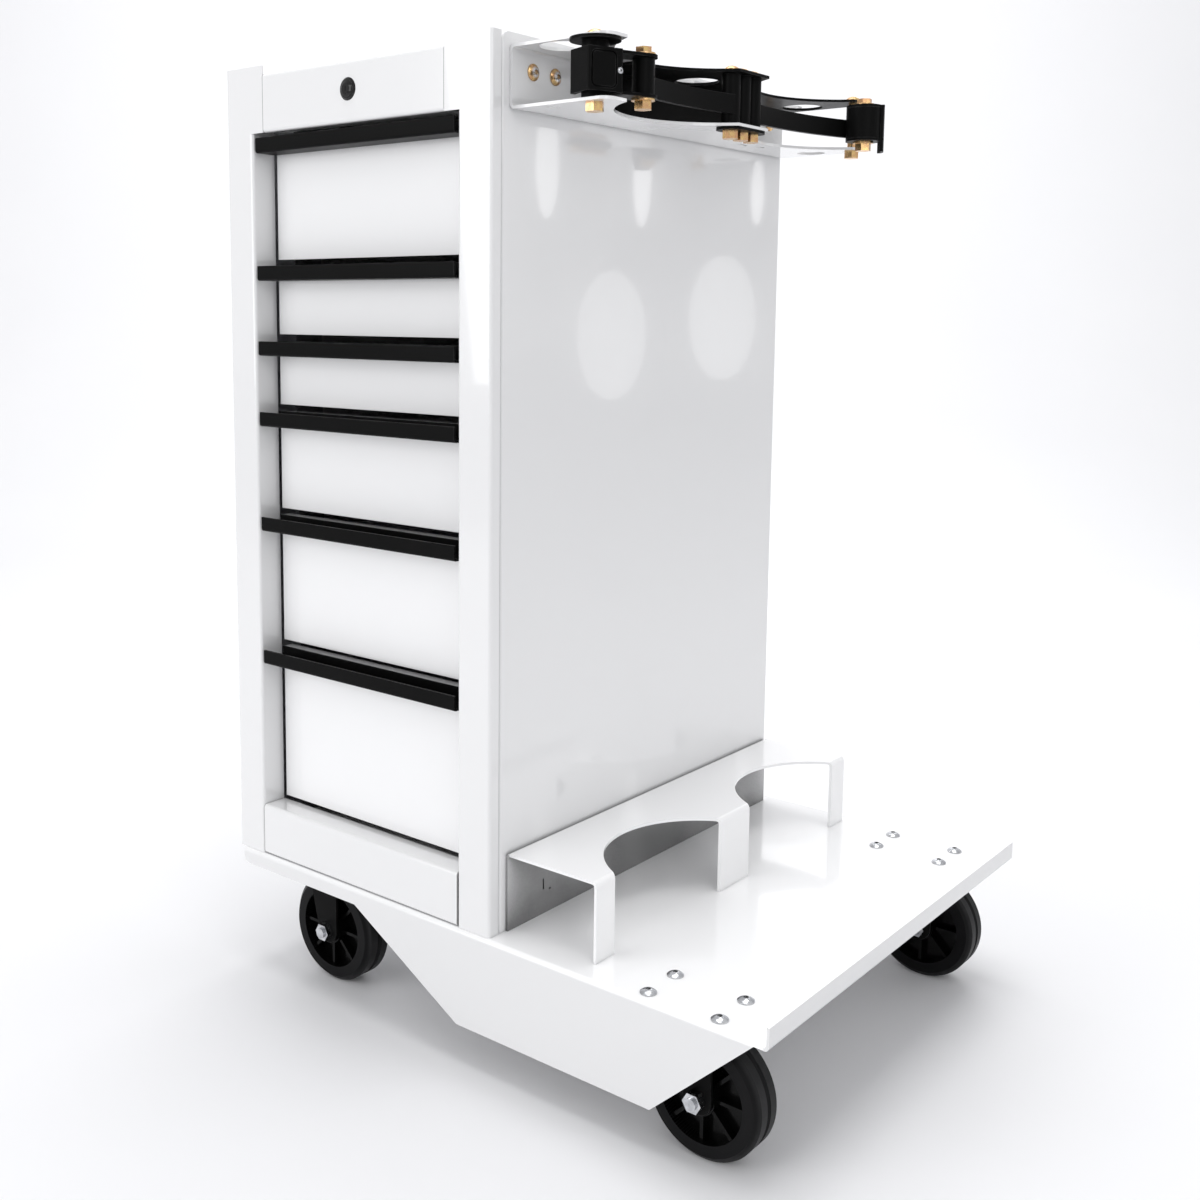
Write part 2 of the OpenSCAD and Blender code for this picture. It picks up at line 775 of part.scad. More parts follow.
module at_caster_bolts() {
    for (x = [-1, 1], y = [-1, 1]) {
        translate([x * caster_bolt_length * half_share, y * caster_bolt_width * half_share, 0]) children();
    }
}

module at_right_casters() {
    for (y = [0, right_caster_pitch]) {
        translate([right_caster_x, right_caster_front + y, 0]) children();
    }
}

module at_left_casters() {
    for (y = [0, left_caster_pitch]) {
        translate([left_caster_x, left_caster_front + y, 0]) children();
    }
}

module deck_bolt() {
    grip = deck_sheet + caster_plate;
    button_screw(button_head, button_height, caster_bolt, grip + caster_bolt * nut_end_share);
    translate([0, 0, -grip - caster_bolt * nut_height_share]) rotate([0, 0, 30])
        hex_nut(caster_bolt * nut_share, caster_bolt * nut_height_share);
}

module deck_bolts() color(zinc) in_frame() {
    at_right_casters() at_caster_bolts() deck_bolt();
    at_left_casters() at_caster_bolts() deck_bolt();
}

module leg_profile(top) {
    circle(leg_end);
    polygon([[leg_end, 0], [leg_end, top], [leg_end - leg_width, top], [-leg_end, 0]]);
}

// Two legs with their axle at the origin; their tops lie at a given height above it
module fork_legs(top) {
    for (side = [-1, 1]) {
        translate([0, side > 0 ? leg_offset + leg_sheet : -leg_offset, 0]) rotate([90, 0, 0]) difference() {
            linear_extrude(leg_sheet) leg_profile(top);
            translate([0, 0, -cut]) cylinder(d = axle_size + 2 * axle_play, h = leg_sheet + 2 * cut);
        }
    }
}

module drilled_plate() {
    difference() {
        translate([-caster_plate_length * half_share, -caster_plate_width * half_share, plate_base])
            round_plate([caster_plate_length, caster_plate_width], caster_plate, axle_size * half_share);
        at_caster_bolts() translate([0, 0, plate_base - cut])
            cylinder(d = caster_bolt, h = caster_plate + 2 * cut);
    }
}

module caster_plates() color(black_paint) in_frame() {
    pin_end = bridge_top - leg_sheet - body_gap;
    at_right_casters() drilled_plate();
    at_left_casters() {
        drilled_plate();
        translate([0, 0, pin_end]) cylinder(d = kingpin_size, h = plate_base - pin_end);
        translate([0, 0, pin_end - leg_sheet])
            cylinder(d = kingpin_size * kingpin_head_share, h = leg_sheet);
        translate([0, 0, plate_base - race_height * half_share]) difference() {
            cylinder(d = race_size, h = race_height * half_share);
            translate([0, 0, -cut])
                cylinder(d = race_size * race_bore_share, h = race_height * half_share + cut);
        }
    }
}

module rigid_legs() color(black_paint) in_frame() {
    at_right_casters() translate([caster_trail, 0, wheel_axis]) fork_legs(plate_base - wheel_axis);
}

// A bolt through both legs, with its head towards the cart's middle and its nut outside
module axle_bolt() {
    outer = leg_offset + leg_sheet;
    rotate([90, 0, 0]) {
        translate([0, 0, -outer]) cylinder(d = axle_size, h = 2 * outer + nut_height * axle_end_share);
        translate([0, 0, outer]) hex_nut(axle_nut, nut_height);
        translate([0, 0, -outer - nut_height * axle_head_share])
            hex_nut(axle_nut, nut_height * axle_head_share);
    }
}

module rigid_axles() color(zinc) in_frame() {
    translate([right_caster_x + caster_trail, right_caster_front, wheel_axis]) axle_bolt();
    translate([right_caster_x + caster_trail, right_caster_front + right_caster_pitch, wheel_axis])
        mirror([0, 1, 0]) axle_bolt();
}

tread_edge_share = 0.3;
tread_groove_share = 0.16;
rib_share = 0.3;
rib_count = 8;
rib_start_share = 0.45;
rib_width_share = 0.8;

// A moulded wheel about the Y axis: tread with a shallow groove, dished disc, hub and ribs
module wheel() {
    outer = wheel_size * half_share;
    half_width = wheel_width * half_share;
    edge = half_width * tread_edge_share;
    groove = half_width * tread_groove_share;
    rib = disc_width * rib_share;
    rib_start = hub_size * rib_start_share;
    rib_width = wheel_width * rib_width_share;
    bore = axle_size * half_share + axle_play;
    rotate([90, 0, 0]) difference() {
        union() {
            rotate_extrude($fn = 96) {
                difference() {
                    polygon([
                        [rim_size * half_share, -half_width], [outer - edge, -half_width],
                        [outer, -half_width + edge], [outer, half_width - edge],
                        [outer - edge, half_width], [rim_size * half_share, half_width]
                    ]);
                    translate([outer, 0]) circle(groove, $fn = 24);
                }
                translate([bore, -disc_width * half_share])
                    square([rim_size * half_share - bore + groove, disc_width]);
                translate([bore, -hub_width * half_share])
                    square([hub_size * half_share - bore, hub_width]);
            }
            for (turn = [0 : rib_count - 1]) {
                rotate([0, 0, turn * 360 / rib_count])
                    translate([rib_start, -rib * half_share, -rib_width * half_share])
                        cube([rim_size * half_share - rib_start + groove, rib, rib_width]);
            }
        }
        translate([0, 0, -hub_width]) cylinder(r = bore, h = 2 * hub_width);
    }
}

module front_rigid_wheel() color(black_paint) in_frame() {
    translate([right_caster_x + caster_trail, right_caster_front, wheel_axis]) wheel();
}

module rear_rigid_wheel() color(black_paint) in_frame() {
    translate([right_caster_x + caster_trail, right_caster_front + right_caster_pitch, wheel_axis]) wheel();
}

module swivel_fork() {
    bridge = 2 * (leg_offset + leg_sheet);
    difference() {
        union() {
            translate([caster_trail + leg_end - leg_width, -bridge * half_share, bridge_top - leg_sheet])
                cube([leg_width, bridge, leg_sheet]);
            translate([0, 0, bridge_top - leg_sheet]) cylinder(d = race_size, h = leg_sheet);
            translate([0, 0, bridge_top - cut]) difference() {
                cylinder(d = race_size * race_ring_share, h = race_height * half_share - race_gap + cut);
                translate([0, 0, -cut])
                    cylinder(d = race_size * race_inside_share, h = race_height + 2 * cut);
            }
        }
        translate([0, 0, bridge_top - leg_sheet - cut])
            cylinder(d = kingpin_size + 2 * axle_play, h = leg_sheet + 2 * cut);
    }
    translate([caster_trail, 0, wheel_axis]) fork_legs(bridge_top - wheel_axis);
}

module front_swivel_fork() color(black_paint) in_frame() {
    translate([left_caster_x, left_caster_front, 0]) swivel_fork();
}

module rear_swivel_fork() color(black_paint) in_frame() {
    translate([left_caster_x, left_caster_front + left_caster_pitch, 0]) swivel_fork();
}

module front_swivel_axle() color(zinc) in_frame() {
    translate([left_caster_x + caster_trail, left_caster_front, wheel_axis]) axle_bolt();
}

module rear_swivel_axle() color(zinc) in_frame() {
    translate([left_caster_x + caster_trail, left_caster_front + left_caster_pitch, wheel_axis])
        mirror([0, 1, 0]) axle_bolt();
}

module front_swivel_wheel() color(black_paint) in_frame() {
    translate([left_caster_x + caster_trail, left_caster_front, wheel_axis]) wheel();
}

module rear_swivel_wheel() color(black_paint) in_frame() {
    translate([left_caster_x + caster_trail, left_caster_front + left_caster_pitch, wheel_axis]) wheel();
}

// Tank bracket

// Keeps the outer corners of the first and last horn round
module horn_corners(base, height) {
    for (side = [0, 1]) {
        translate([saddle_reach - horn_corner, tank_middle, base - cut]) mirror([0, side, 0])
            translate([0, saddle_length * half_share - horn_corner, 0]) difference() {
                cube([horn_corner + cut, horn_corner + cut, height + 2 * cut]);
                cylinder(r = horn_corner, h = height + 2 * cut);
            }
    }
}

module flange_holes(base, height, size) {
    for (y = [horn_front + horn_corner, tank_middle, horn_rear - horn_corner]) {
        translate([flange_hole_reach, y, base - cut]) cylinder(d = size, h = height + 2 * cut);
    }
}

module slot_hole(place, base, height) {
    translate([place.x, place.y, base - cut]) {
        translate([0, (flange_slot_width - flange_slot) * half_share, 0])
            cylinder(d = flange_slot_width, h = height + 2 * cut);
        translate([0, (flange_slot - flange_slot_width) * half_share, 0])
            cylinder(d = flange_slot_width, h = height + 2 * cut);
        translate([-flange_slot_width * half_share, (flange_slot_width - flange_slot) * half_share, 0])
            cube([flange_slot_width, flange_slot - flange_slot_width, height + 2 * cut]);
    }
}

module post_holes(base, height) {
    for (y = [front_pivot, tank_middle, rear_pivot]) {
        translate([pivot_reach, y, base - cut]) cylinder(d = gate_bolt, h = height + 2 * cut);
    }
    for (place = horn_bolts_at) {
        translate([place.x, place.y, base - cut]) cylinder(d = gate_bolt, h = height + 2 * cut);
    }
}

wall_bolt_near_share = 1.8;
wall_bolt_far_share = 5.3;
wall_bolt_height_share = 0.63;
wall_bolts = [horn_front + gate_bolt * wall_bolt_near_share, horn_front + gate_bolt * wall_bolt_far_share,
    horn_rear - gate_bolt * wall_bolt_far_share, horn_rear - gate_bolt * wall_bolt_near_share];
wall_bolt_height = bracket_base + bracket_height * wall_bolt_height_share;
slot_shares = [0.3, 0.34, 0.36];

module tank_bracket() color(white_paint) in_frame() {
    difference() {
        translate([0, saddle_front + saddle_length, bracket_base]) rotate([90, 0, 0])
            linear_extrude(saddle_length) mirror([1, -1])
                channel_profile(bracket_height, saddle_reach, saddle_reach, deck_sheet, saddle_bend);
        tank_cuts(bracket_base, bracket_height);
        horn_corners(bracket_base, bracket_height);
        box_from([flange_strip, tank_front, flange_inside - cut],
            [saddle_reach + cut, saddle_front + saddle_length + cut, bracket_top + cut]);
        flange_holes(flange_inside, deck_sheet, flange_hole);
        translate([flange_hole_reach + horn_corner, horn_rear - horn_corner, bracket_base - cut])
            cylinder(d = lower_hole, h = deck_sheet + 2 * cut);
        slot_hole([saddle_reach * slot_shares[0], tank_rear - flange_slot], bracket_base, deck_sheet);
        slot_hole([saddle_reach * slot_shares[1], tank_rear + flange_slot], bracket_base, deck_sheet);
        slot_hole([saddle_reach * slot_shares[2], horn_front], bracket_base, deck_sheet);
        post_holes(bracket_base, bracket_height);
        for (y = wall_bolts) {
            translate([-cut, y, wall_bolt_height]) rotate([0, 90, 0])
                cylinder(d = bracket_bolt, h = deck_sheet + 2 * cut);
        }
    }
}

module bracket_bolts() color(gold_zinc) in_frame() {
    for (y = wall_bolts) {
        translate([deck_sheet, y, wall_bolt_height]) rotate([0, 90, 0])
            button_screw(button_head, button_height, bracket_bolt, deck_sheet);
    }
}

sleeve_foot_share = 1.5;
sleeve_foot = sleeve_size * sleeve_foot_share;

// Black plate under the upper flange, with the same outline from the first arc to the rear end
module gate_mount() color(black_paint) in_frame() {
    start = tank_front;
    stop = saddle_front + saddle_length;
    web_stop = tank_rear;
    difference() {
        union() {
            box_from([deck_sheet + saddle_bend, start, sleeve_top], [saddle_reach, stop, flange_inside]);
            box_from([deck_sheet, start, sleeve_base + saddle_bend],
                [deck_sheet + gate_plate, web_stop, sleeve_top]);
            box_from([deck_sheet, start, sleeve_top - gate_plate],
                [deck_sheet + saddle_bend + gate_plate, web_stop, sleeve_top]);
        }
        tank_cuts(bracket_base, bracket_height);
        horn_corners(bracket_base, bracket_height);
        flange_holes(sleeve_top, gate_plate, flange_hole);
        post_holes(bracket_base, bracket_height);
    }
    // Stadium under the middle horn
    difference() {
        union() {
            for (y = [front_pivot, rear_pivot]) {
                translate([pivot_reach, y, bracket_base - gate_plate])
                    cylinder(d = sleeve_foot, h = gate_plate);
            }
            translate([pivot_reach - sleeve_foot * half_share, front_pivot, bracket_base - gate_plate])
                cube([sleeve_foot, rear_pivot - front_pivot, gate_plate]);
        }
        post_holes(bracket_base - gate_plate, gate_plate);
    }
    // Fixed post between the gates
    difference() {
        translate([pivot_reach, tank_middle, sleeve_base])
            cylinder(d = sleeve_size, h = sleeve_top - sleeve_base);
        translate([pivot_reach, tank_middle, sleeve_base - cut])
            cylinder(d = gate_bolt, h = sleeve_top - sleeve_base + 2 * cut);
    }
}

// Spool at the first horn, with a disc under the upper flange
module horn_spool() color(black_paint) in_frame() {
    translate([horn_bolt_reach, horn_front, 0]) difference() {
        union() {
            translate([0, 0, sleeve_base]) cylinder(d = spool_size, h = sleeve_top - sleeve_base);
            translate([0, 0, sleeve_top]) cylinder(d = spool_disc, h = gate_plate);
        }
        translate([0, 0, sleeve_base - cut]) cylinder(d = gate_bolt, h = bracket_height + 2 * cut);
    }
}

module long_bolt(base, top) {
    head = gate_bolt * bolt_head_share;
    translate([0, 0, top]) button_screw(button_head, head, gate_bolt, 0);
    translate([0, 0, base]) cylinder(d = gate_bolt, h = top - base);
    translate([0, 0, base - head * tall_nut_share]) hex_nut(gate_bolt * nut_share, head * tall_nut_share);
    translate([0, 0, base]) cylinder(d = gate_bolt, h = head);
}

module horn_bolts() color(gold_zinc) in_frame() {
    translate([horn_bolts_at[0].x, horn_bolts_at[0].y, 0]) long_bolt(bracket_base, bracket_top);
    translate([horn_bolts_at[1].x, horn_bolts_at[1].y, 0]) long_bolt(bracket_base, flange_inside);
    for (y = [front_pivot, tank_middle, rear_pivot]) {
        translate([pivot_reach, y, 0]) long_bolt(bracket_base - gate_plate, flange_inside);
    }
}

// Gates

// A strap on edge along Y that bows towards the cabinet, from one round end to the other
module strap(length, bow) {
    half_length = length * half_share;
    radius = (half_length * half_length + bow * bow) / (2 * bow);
    intersection() {
        translate([radius - bow, half_length, 0]) difference() {
            cylinder(r = radius + strap_thickness * half_share, h = strap_height, $fn = 180);
            translate([0, 0, -cut])
                cylinder(r = radius - strap_thickness * half_share, h = strap_height + 2 * cut, $fn = 180);
        }
        translate([-2 * bow, 0, -cut]) cube([4 * bow, length, strap_height + 2 * cut]);
    }
}

// The strap leaves its sleeve on the outer side and meets its end piece on the inner side
module crossing_strap(end_size) {
    outer = (sleeve_size - strap_thickness) * half_share;
    inner = (end_size - strap_thickness) * half_share;
    translate([outer, 0, strap_base]) rotate([0, 0, atan((outer + inner) / gate_length)])
        strap(gate_length, strap_bow);
}

// A gate with its pivot at the origin and its free end along +Y, whose strap lies lower by a drop
module gate(end_size, drop) {
    difference() {
        union() {
            translate([0, 0, sleeve_base + body_gap])
                cylinder(d = sleeve_size, h = sleeve_top - sleeve_base - 2 * body_gap);
            translate([0, 0, -drop]) crossing_strap(end_size);
            translate([0, gate_length, end_base - drop]) cylinder(d = end_size, h = end_height);
        }
        translate([0, 0, sleeve_base - cut])
            cylinder(d = gate_bolt + 2 * bolt_play, h = sleeve_top - sleeve_base + 2 * cut);
        translate([0, gate_length, end_base - drop - cut])
            cylinder(d = gate_bolt, h = end_height + 2 * cut);
    }
}

module at_front_gate() {
    translate([pivot_reach, front_pivot, 0]) rotate([0, 0, 180 + closed_angle]) children();
}

module at_rear_gate() {
    translate([pivot_reach, rear_pivot, 0]) rotate([0, 0, -closed_angle - rear_gate_rest]) children();
}

module front_gate() color(black_paint) in_frame() {
    at_front_gate() mirror([1, 0, 0]) gate(end_tube, 0);
}

module rear_gate() color(black_paint) in_frame() {
    at_rear_gate() gate(end_drum, rear_drop);
}

module end_bolt() {
    head = gate_bolt * bolt_head_share;
    washer = head * washer_share;
    ear_reach = ear_sheet + body_gap + 2 * bolt_play;
    base = end_base - ear_reach - washer;
    top = end_top + ear_reach;
    translate([0, 0, base]) cylinder(d = gate_bolt, h = top - base);
    translate([0, 0, top]) cylinder(d = gate_bolt * washer_size_share, h = washer);
    translate([0, 0, top + washer]) hex_nut(gate_bolt * thin_nut_share, head);
    translate([0, 0, base]) cylinder(d = gate_bolt * washer_size_share, h = washer);
    translate([0, 0, base - head * end_nut_share]) hex_nut(gate_bolt * nut_share, head * end_nut_share);
}

module front_gate_bolt() color(gold_zinc) in_frame() {
    at_front_gate() translate([0, gate_length, 0]) end_bolt();
}

module rear_gate_bolt() color(gold_zinc) in_frame() {
    at_rear_gate() translate([0, gate_length, -rear_drop]) end_bolt();
}

// Place of the front gate's free end, and the way from there to the spool
front_end = [pivot_reach + gate_length * sin(closed_angle), front_pivot - gate_length * cos(closed_angle)];
latch_run = [horn_bolt_reach - front_end.x, horn_front - front_end.y];
latch_distance = norm(latch_run);
latch_turn = atan2(latch_run.x, -latch_run.y);

latch_corner_share = 0.6;
latch_groove_share = 0.3;
latch_margin_share = 0.6;
latch_pad_share = 0.73;
latch_pad_corner_share = 0.15;
latch_screw_share = 0.65;
latch_screw_height_share = 0.22;
latch_screw_place_share = 0.82;
latch_screw_size = gate_bolt * latch_screw_share;
latch_outer = spool_size * half_share + latch_gap + latch_wall;
latch_screw_seat = latch_outer - latch_wall * latch_groove_share;
latch_screw_place = latch_outer * latch_screw_place_share;
hook_drop_share = 0.35;

// A groove along the edge of a rounded rectangle
module latch_groove(size) {
    width = latch_wall * latch_groove_share;
    corner = latch_height * latch_pad_corner_share;
    difference() {
        round_plate(size, latch_wall, corner);
        translate([width, width, -cut])
            round_plate([size.x - 2 * width, size.y - 2 * width], latch_wall + 2 * cut, corner - width);
    }
}

// The way that the spool takes out of a latch block, which turns about the origin
module spool_way(reach, inner, height) {
    intersection() {
        difference() {
            cylinder(r = reach + inner, h = height);
            translate([0, 0, -cut]) cylinder(r = reach - inner, h = height + 2 * cut);
        }
        translate([-reach, -reach - 2 * inner, -cut]) cube([reach, reach + inner, height + 2 * cut]);
    }
    translate([0, -reach, 0]) cylinder(r = inner, h = height);
}

// A latch block with its pivot at the origin; its body reaches along -Y and is open towards -X
module latch_body(reach) {
    body_base = end_base + (end_height - latch_height) * half_share;
    inner = spool_size * half_share + latch_gap;
    outer = latch_outer;
    margin = latch_wall * latch_margin_share;
    pad_height = latch_height - 2 * margin;
    ear_base = end_base - ear_sheet - body_gap;
    ear_top = end_top + body_gap;
    difference() {
        union() {
            translate([-inner, -reach - outer, body_base])
                round_plate([outer + inner, 2 * outer], latch_height, latch_wall * latch_corner_share);
            for (z = [ear_base, ear_top]) {
                translate([0, 0, z]) cylinder(d = latch_ear, h = ear_sheet);
                translate([-latch_ear * half_share, -reach + inner, z])
                    cube([latch_ear, reach - inner, ear_sheet]);
            }
        }
        translate([0, 0, body_base - cut]) spool_way(reach, inner, latch_height + 2 * cut);
        translate([0, 0, ear_base - cut])
            cylinder(d = gate_bolt + 2 * bolt_play, h = end_height + 2 * latch_height);
        // Groove round the broad outer face, and the screw's seat
        translate([latch_screw_seat, -reach - outer + margin, body_base + margin + pad_height])
            rotate([0, 90, 0]) latch_groove([pad_height, 2 * outer * latch_pad_share]);
        translate([latch_screw_seat, -reach + latch_screw_place, end_base + end_height * half_share])
            rotate([0, 90, 0]) cylinder(d = latch_screw_size + body_gap, h = latch_wall);
    }
}

module latch_block() color(black_paint) in_frame() {
    translate([front_end.x, front_end.y, 0]) rotate([0, 0, latch_turn]) latch_body(latch_distance);
}

module latch_screw() color(zinc) in_frame() {
    translate([front_end.x, front_end.y, 0]) rotate([0, 0, latch_turn])
        translate([latch_screw_seat, latch_screw_place - latch_distance, end_base + end_height * half_share])
            rotate([0, 90, 0])
                button_screw(latch_screw_size, gate_bolt * latch_screw_height_share,
                    latch_screw_size * half_share, 0);
}

// A hook that wraps the rear gate's drum and hangs below it
module latch_hook() color(black_paint) in_frame() {
    inner = end_drum * half_share + body_gap;
    ear_base = end_base - ear_sheet - body_gap;
    ear_top = end_top + body_gap;
    drop = end_height * hook_drop_share;
    tall = ear_top + ear_sheet - ear_base + drop;
    at_rear_gate() translate([0, gate_length, -rear_drop]) rotate([0, 0, hook_turn]) difference() {
        union() {
            for (z = [ear_base, ear_top]) {
                translate([0, 0, z]) cylinder(d = end_drum, h = ear_sheet);
            }
            translate([0, 0, ear_base - drop]) intersection() {
                difference() {
                    cylinder(r = inner + ear_sheet, h = tall);
                    translate([0, 0, -cut]) cylinder(r = inner, h = tall + 2 * cut);
                }
                translate([0, -inner * half_share, -cut]) cube([2 * inner, inner, tall + 2 * cut]);
            }
            for (z = [ear_base, ear_top]) {
                translate([0, -inner * half_share, z])
                    cube([inner + ear_sheet * half_share, inner, ear_sheet]);
            }
        }
        translate([0, 0, ear_base - cut]) cylinder(d = gate_bolt + 2 * bolt_play, h = tall + 2 * cut);
    }
}

left_side_panel();
right_side_panel();
back_panel();
top_panel();
floor_panel();
left_stile();
right_stile();
top_rail();
bottom_rail();
slide_uprights();
slide_rails();
lock_barrel();
lock_plug();
drawer_1_tray();
drawer_1_pull();
drawer_1_runners();
drawer_2_tray();
drawer_2_pull();
drawer_2_runners();
drawer_3_tray();
drawer_3_pull();
drawer_3_runners();
drawer_4_tray();
drawer_4_pull();
drawer_4_runners();
drawer_5_tray();
drawer_5_pull();
drawer_5_runners();
drawer_6_tray();
drawer_6_pull();
drawer_6_runners();
base_deck();
tank_saddle();
deck_bolts();
caster_plates();
rigid_legs();
rigid_axles();
front_rigid_wheel();
rear_rigid_wheel();
front_swivel_fork();
rear_swivel_fork();
front_swivel_axle();
rear_swivel_axle();
front_swivel_wheel();
rear_swivel_wheel();
tank_bracket();
bracket_bolts();
gate_mount();
horn_spool();
horn_bolts();
front_gate();
front_gate_bolt();
latch_block();
latch_screw();
rear_gate();
rear_gate_bolt();
latch_hook();
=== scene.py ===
# %% [markdown]
# # A dual tank cart: a drawer cabinet beside a platform for two gas cylinders
#
# The construction is already modelled: every sheet, bolt, slide and wheel is a solid of its real
# size. This lesson dresses it. We load the solids as a fixed frame, give each finish a procedural
# material, soften the edges and set up a bright studio. Everything is in metres, with +Z up and the
# floor at zero.

# %% Load the frame
import bpy
import json
import math
from mathutils import Matrix, Vector


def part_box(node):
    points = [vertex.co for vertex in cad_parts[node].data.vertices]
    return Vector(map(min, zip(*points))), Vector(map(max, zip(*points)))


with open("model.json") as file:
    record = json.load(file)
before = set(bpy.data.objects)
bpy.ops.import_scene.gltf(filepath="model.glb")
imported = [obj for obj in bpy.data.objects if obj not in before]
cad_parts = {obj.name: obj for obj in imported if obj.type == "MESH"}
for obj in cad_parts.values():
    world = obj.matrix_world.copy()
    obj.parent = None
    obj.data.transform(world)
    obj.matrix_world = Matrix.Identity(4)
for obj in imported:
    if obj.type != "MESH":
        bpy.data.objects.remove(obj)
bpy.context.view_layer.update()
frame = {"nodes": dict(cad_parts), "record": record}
NODES = frame["nodes"]
MM = 0.001

# %% [markdown]
# ## A camera that stands where the photographer stood
#
# A camera could be placed by eye, but sheet metal shows every error of angle. Its place, lens and
# small shift were worked out from the straight edges of the cabinet's frame and the deck and from
# the round outlines of the wheels. The shift only recentres the frame, as a crop would.

# %% Camera
PHOTO_SIDE = 1200
PHOTO_FOCAL = 1384.2
PHOTO_CENTRE = (542.2, 486.0)
CAMERA_PLACE = Vector((0.94085, -1.3066, 0.7907))
CAMERA_AZIMUTH = math.radians(39.33)
CAMERA_PITCH = math.radians(7.0)
CAMERA_ROLL = math.radians(0.45)
SENSOR = 36.0


def camera_axes(azimuth, pitch, roll):
    """Right, up and back directions of a camera that looks down by pitch."""
    back = Vector((math.sin(azimuth) * math.cos(pitch),
                   -math.cos(azimuth) * math.cos(pitch), math.sin(pitch)))
    right = Vector((math.cos(azimuth), math.sin(azimuth), 0))
    up = back.cross(right)
    tilted_right = right * math.cos(roll) + up * math.sin(roll)
    tilted_up = up * math.cos(roll) - right * math.sin(roll)
    return tilted_right, tilted_up, back


def add_camera():
    """The scene's camera, with its lens and shift worked out in the photograph's own pixels."""
    data = bpy.data.cameras.new("camera")
    data.sensor_width = SENSOR
    data.lens = SENSOR * PHOTO_FOCAL / PHOTO_SIDE
    half = PHOTO_SIDE / 2
    data.shift_x = (half - PHOTO_CENTRE[0]) / PHOTO_SIDE
    data.shift_y = (PHOTO_CENTRE[1] - half) / PHOTO_SIDE
    data.dof.use_dof = False
    camera = bpy.data.objects.new("camera", data)
    bpy.context.scene.collection.objects.link(camera)
    axes = Matrix(camera_axes(CAMERA_AZIMUTH, CAMERA_PITCH, CAMERA_ROLL)).transposed()
    camera.matrix_world = Matrix.Translation(CAMERA_PLACE) @ axes.to_4x4()
    bpy.context.scene.camera = camera
    return data


lens = add_camera()
print("lens:", round(lens.lens, 2), "shift:", round(lens.shift_x, 3), round(lens.shift_y, 3))

# %% [markdown]
# ## A small kit for shader nodes
#
# Each finish is a node tree, and making one takes the same few moves again and again. We write each
# move once: feed a socket, add a node, do a sum, blend two colours. A Mix node keeps a set of sockets
# for each kind of data under the same names, so its colour sockets are reached by number.

# %% Node helpers
MIX_MASK, MIX_FIRST, MIX_SECOND, MIX_RESULT = 0, 6, 7, 2


def feed(tree, socket, value):
    """Links the socket if the value is a socket too, and otherwise sets it."""
    if isinstance(value, bpy.types.NodeSocket):
        tree.links.new(value, socket)
    else:
        socket.default_value = value


def add_node(tree, kind, **inputs):
    """A node whose inputs are fed by name, with spaces written as underscores."""
    node = tree.nodes.new(kind)
    for name, value in inputs.items():
        feed(tree, node.inputs[name.replace("_", " ")], value)
    return node


def maths(tree, operation, first, second=0.0, clamp=False):
    """The result of one operation, held between zero and one if clamp is on."""
    node = tree.nodes.new("ShaderNodeMath")
    node.operation = operation
    node.use_clamp = clamp
    feed(tree, node.inputs[0], first)
    feed(tree, node.inputs[1], second)
    return node.outputs[0]


def blend_colours(tree, mask, first, second):
    """The first colour where the mask is zero, the second where it is one."""
    node = tree.nodes.new("ShaderNodeMix")
    node.data_type = "RGBA"
    feed(tree, node.inputs[MIX_MASK], mask)
    feed(tree, node.inputs[MIX_FIRST], first)
    feed(tree, node.inputs[MIX_SECOND], second)
    return node.outputs[MIX_RESULT]


def grey(level):
    """An opaque colour with the same red, green and blue."""
    return (level, level, level, 1)


print("node helpers ready")

# %% [markdown]
# ## Where a point is, and how it varies
#
# Patterns could be painted on unwrapped pieces. Here they are made from a point's place in the
# object's own coordinates, which needs no unwrapping and moves with the piece. Noise turns a place
# into a value, and a Map Range node spreads that value over the range that a finish needs.

# %% Pattern helpers
def object_place(tree):
    """The place of a point in its object's own coordinates."""
    return add_node(tree, "ShaderNodeTexCoord").outputs["Object"]


def surface_normal(tree):
    """The direction that the surface faces."""
    return add_node(tree, "ShaderNodeNewGeometry").outputs["Normal"]


def along_axes(tree, vector):
    """The X, Y and Z of a vector as three sockets."""
    return add_node(tree, "ShaderNodeSeparateXYZ", Vector=vector).outputs


def noise(tree, place, scale, detail, roughness=0.5):
    """Soft random values around a half. A larger scale makes smaller patches."""
    node = add_node(tree, "ShaderNodeTexNoise", Vector=place, Scale=scale, Detail=detail,
                    Roughness=roughness)
    return node.outputs[0]


def spread(tree, value, between=(0.0, 1.0), onto=(0.0, 1.0)):
    """A value between two limits, spread onto two others and held there."""
    node = add_node(tree, "ShaderNodeMapRange", Value=value, From_Min=between[0], From_Max=between[1],
                    To_Min=onto[0], To_Max=onto[1])
    return node.outputs["Result"]


print("pattern helpers ready")

# %% [markdown]
# ## Groups that several finishes share
#
# A node group is a box with named inputs and outputs. We use it for what several finishes share, and
# give each finish its own values. Groups give out only colours, masks, roughness and heights. The
# Principled shader itself stays in each material.

# %% Group helper
FLOAT = "NodeSocketFloat"
COLOUR = "NodeSocketColor"
FINISH_OUTPUTS = [("Color", COLOUR), ("Roughness", FLOAT), ("Height", FLOAT)]


def new_group(name, inputs, outputs):
    """An empty group with named sockets, the values that go in and the sockets that lead out."""
    group = bpy.data.node_groups.new(name, "ShaderNodeTree")
    for title, kind, default in inputs:
        socket = group.interface.new_socket(title, in_out="INPUT", socket_type=kind)
        socket.default_value = default
    for title, kind in outputs:
        group.interface.new_socket(title, in_out="OUTPUT", socket_type=kind)
    entry = group.nodes.new("NodeGroupInput")
    leave = group.nodes.new("NodeGroupOutput")
    return group, entry.outputs, leave.inputs


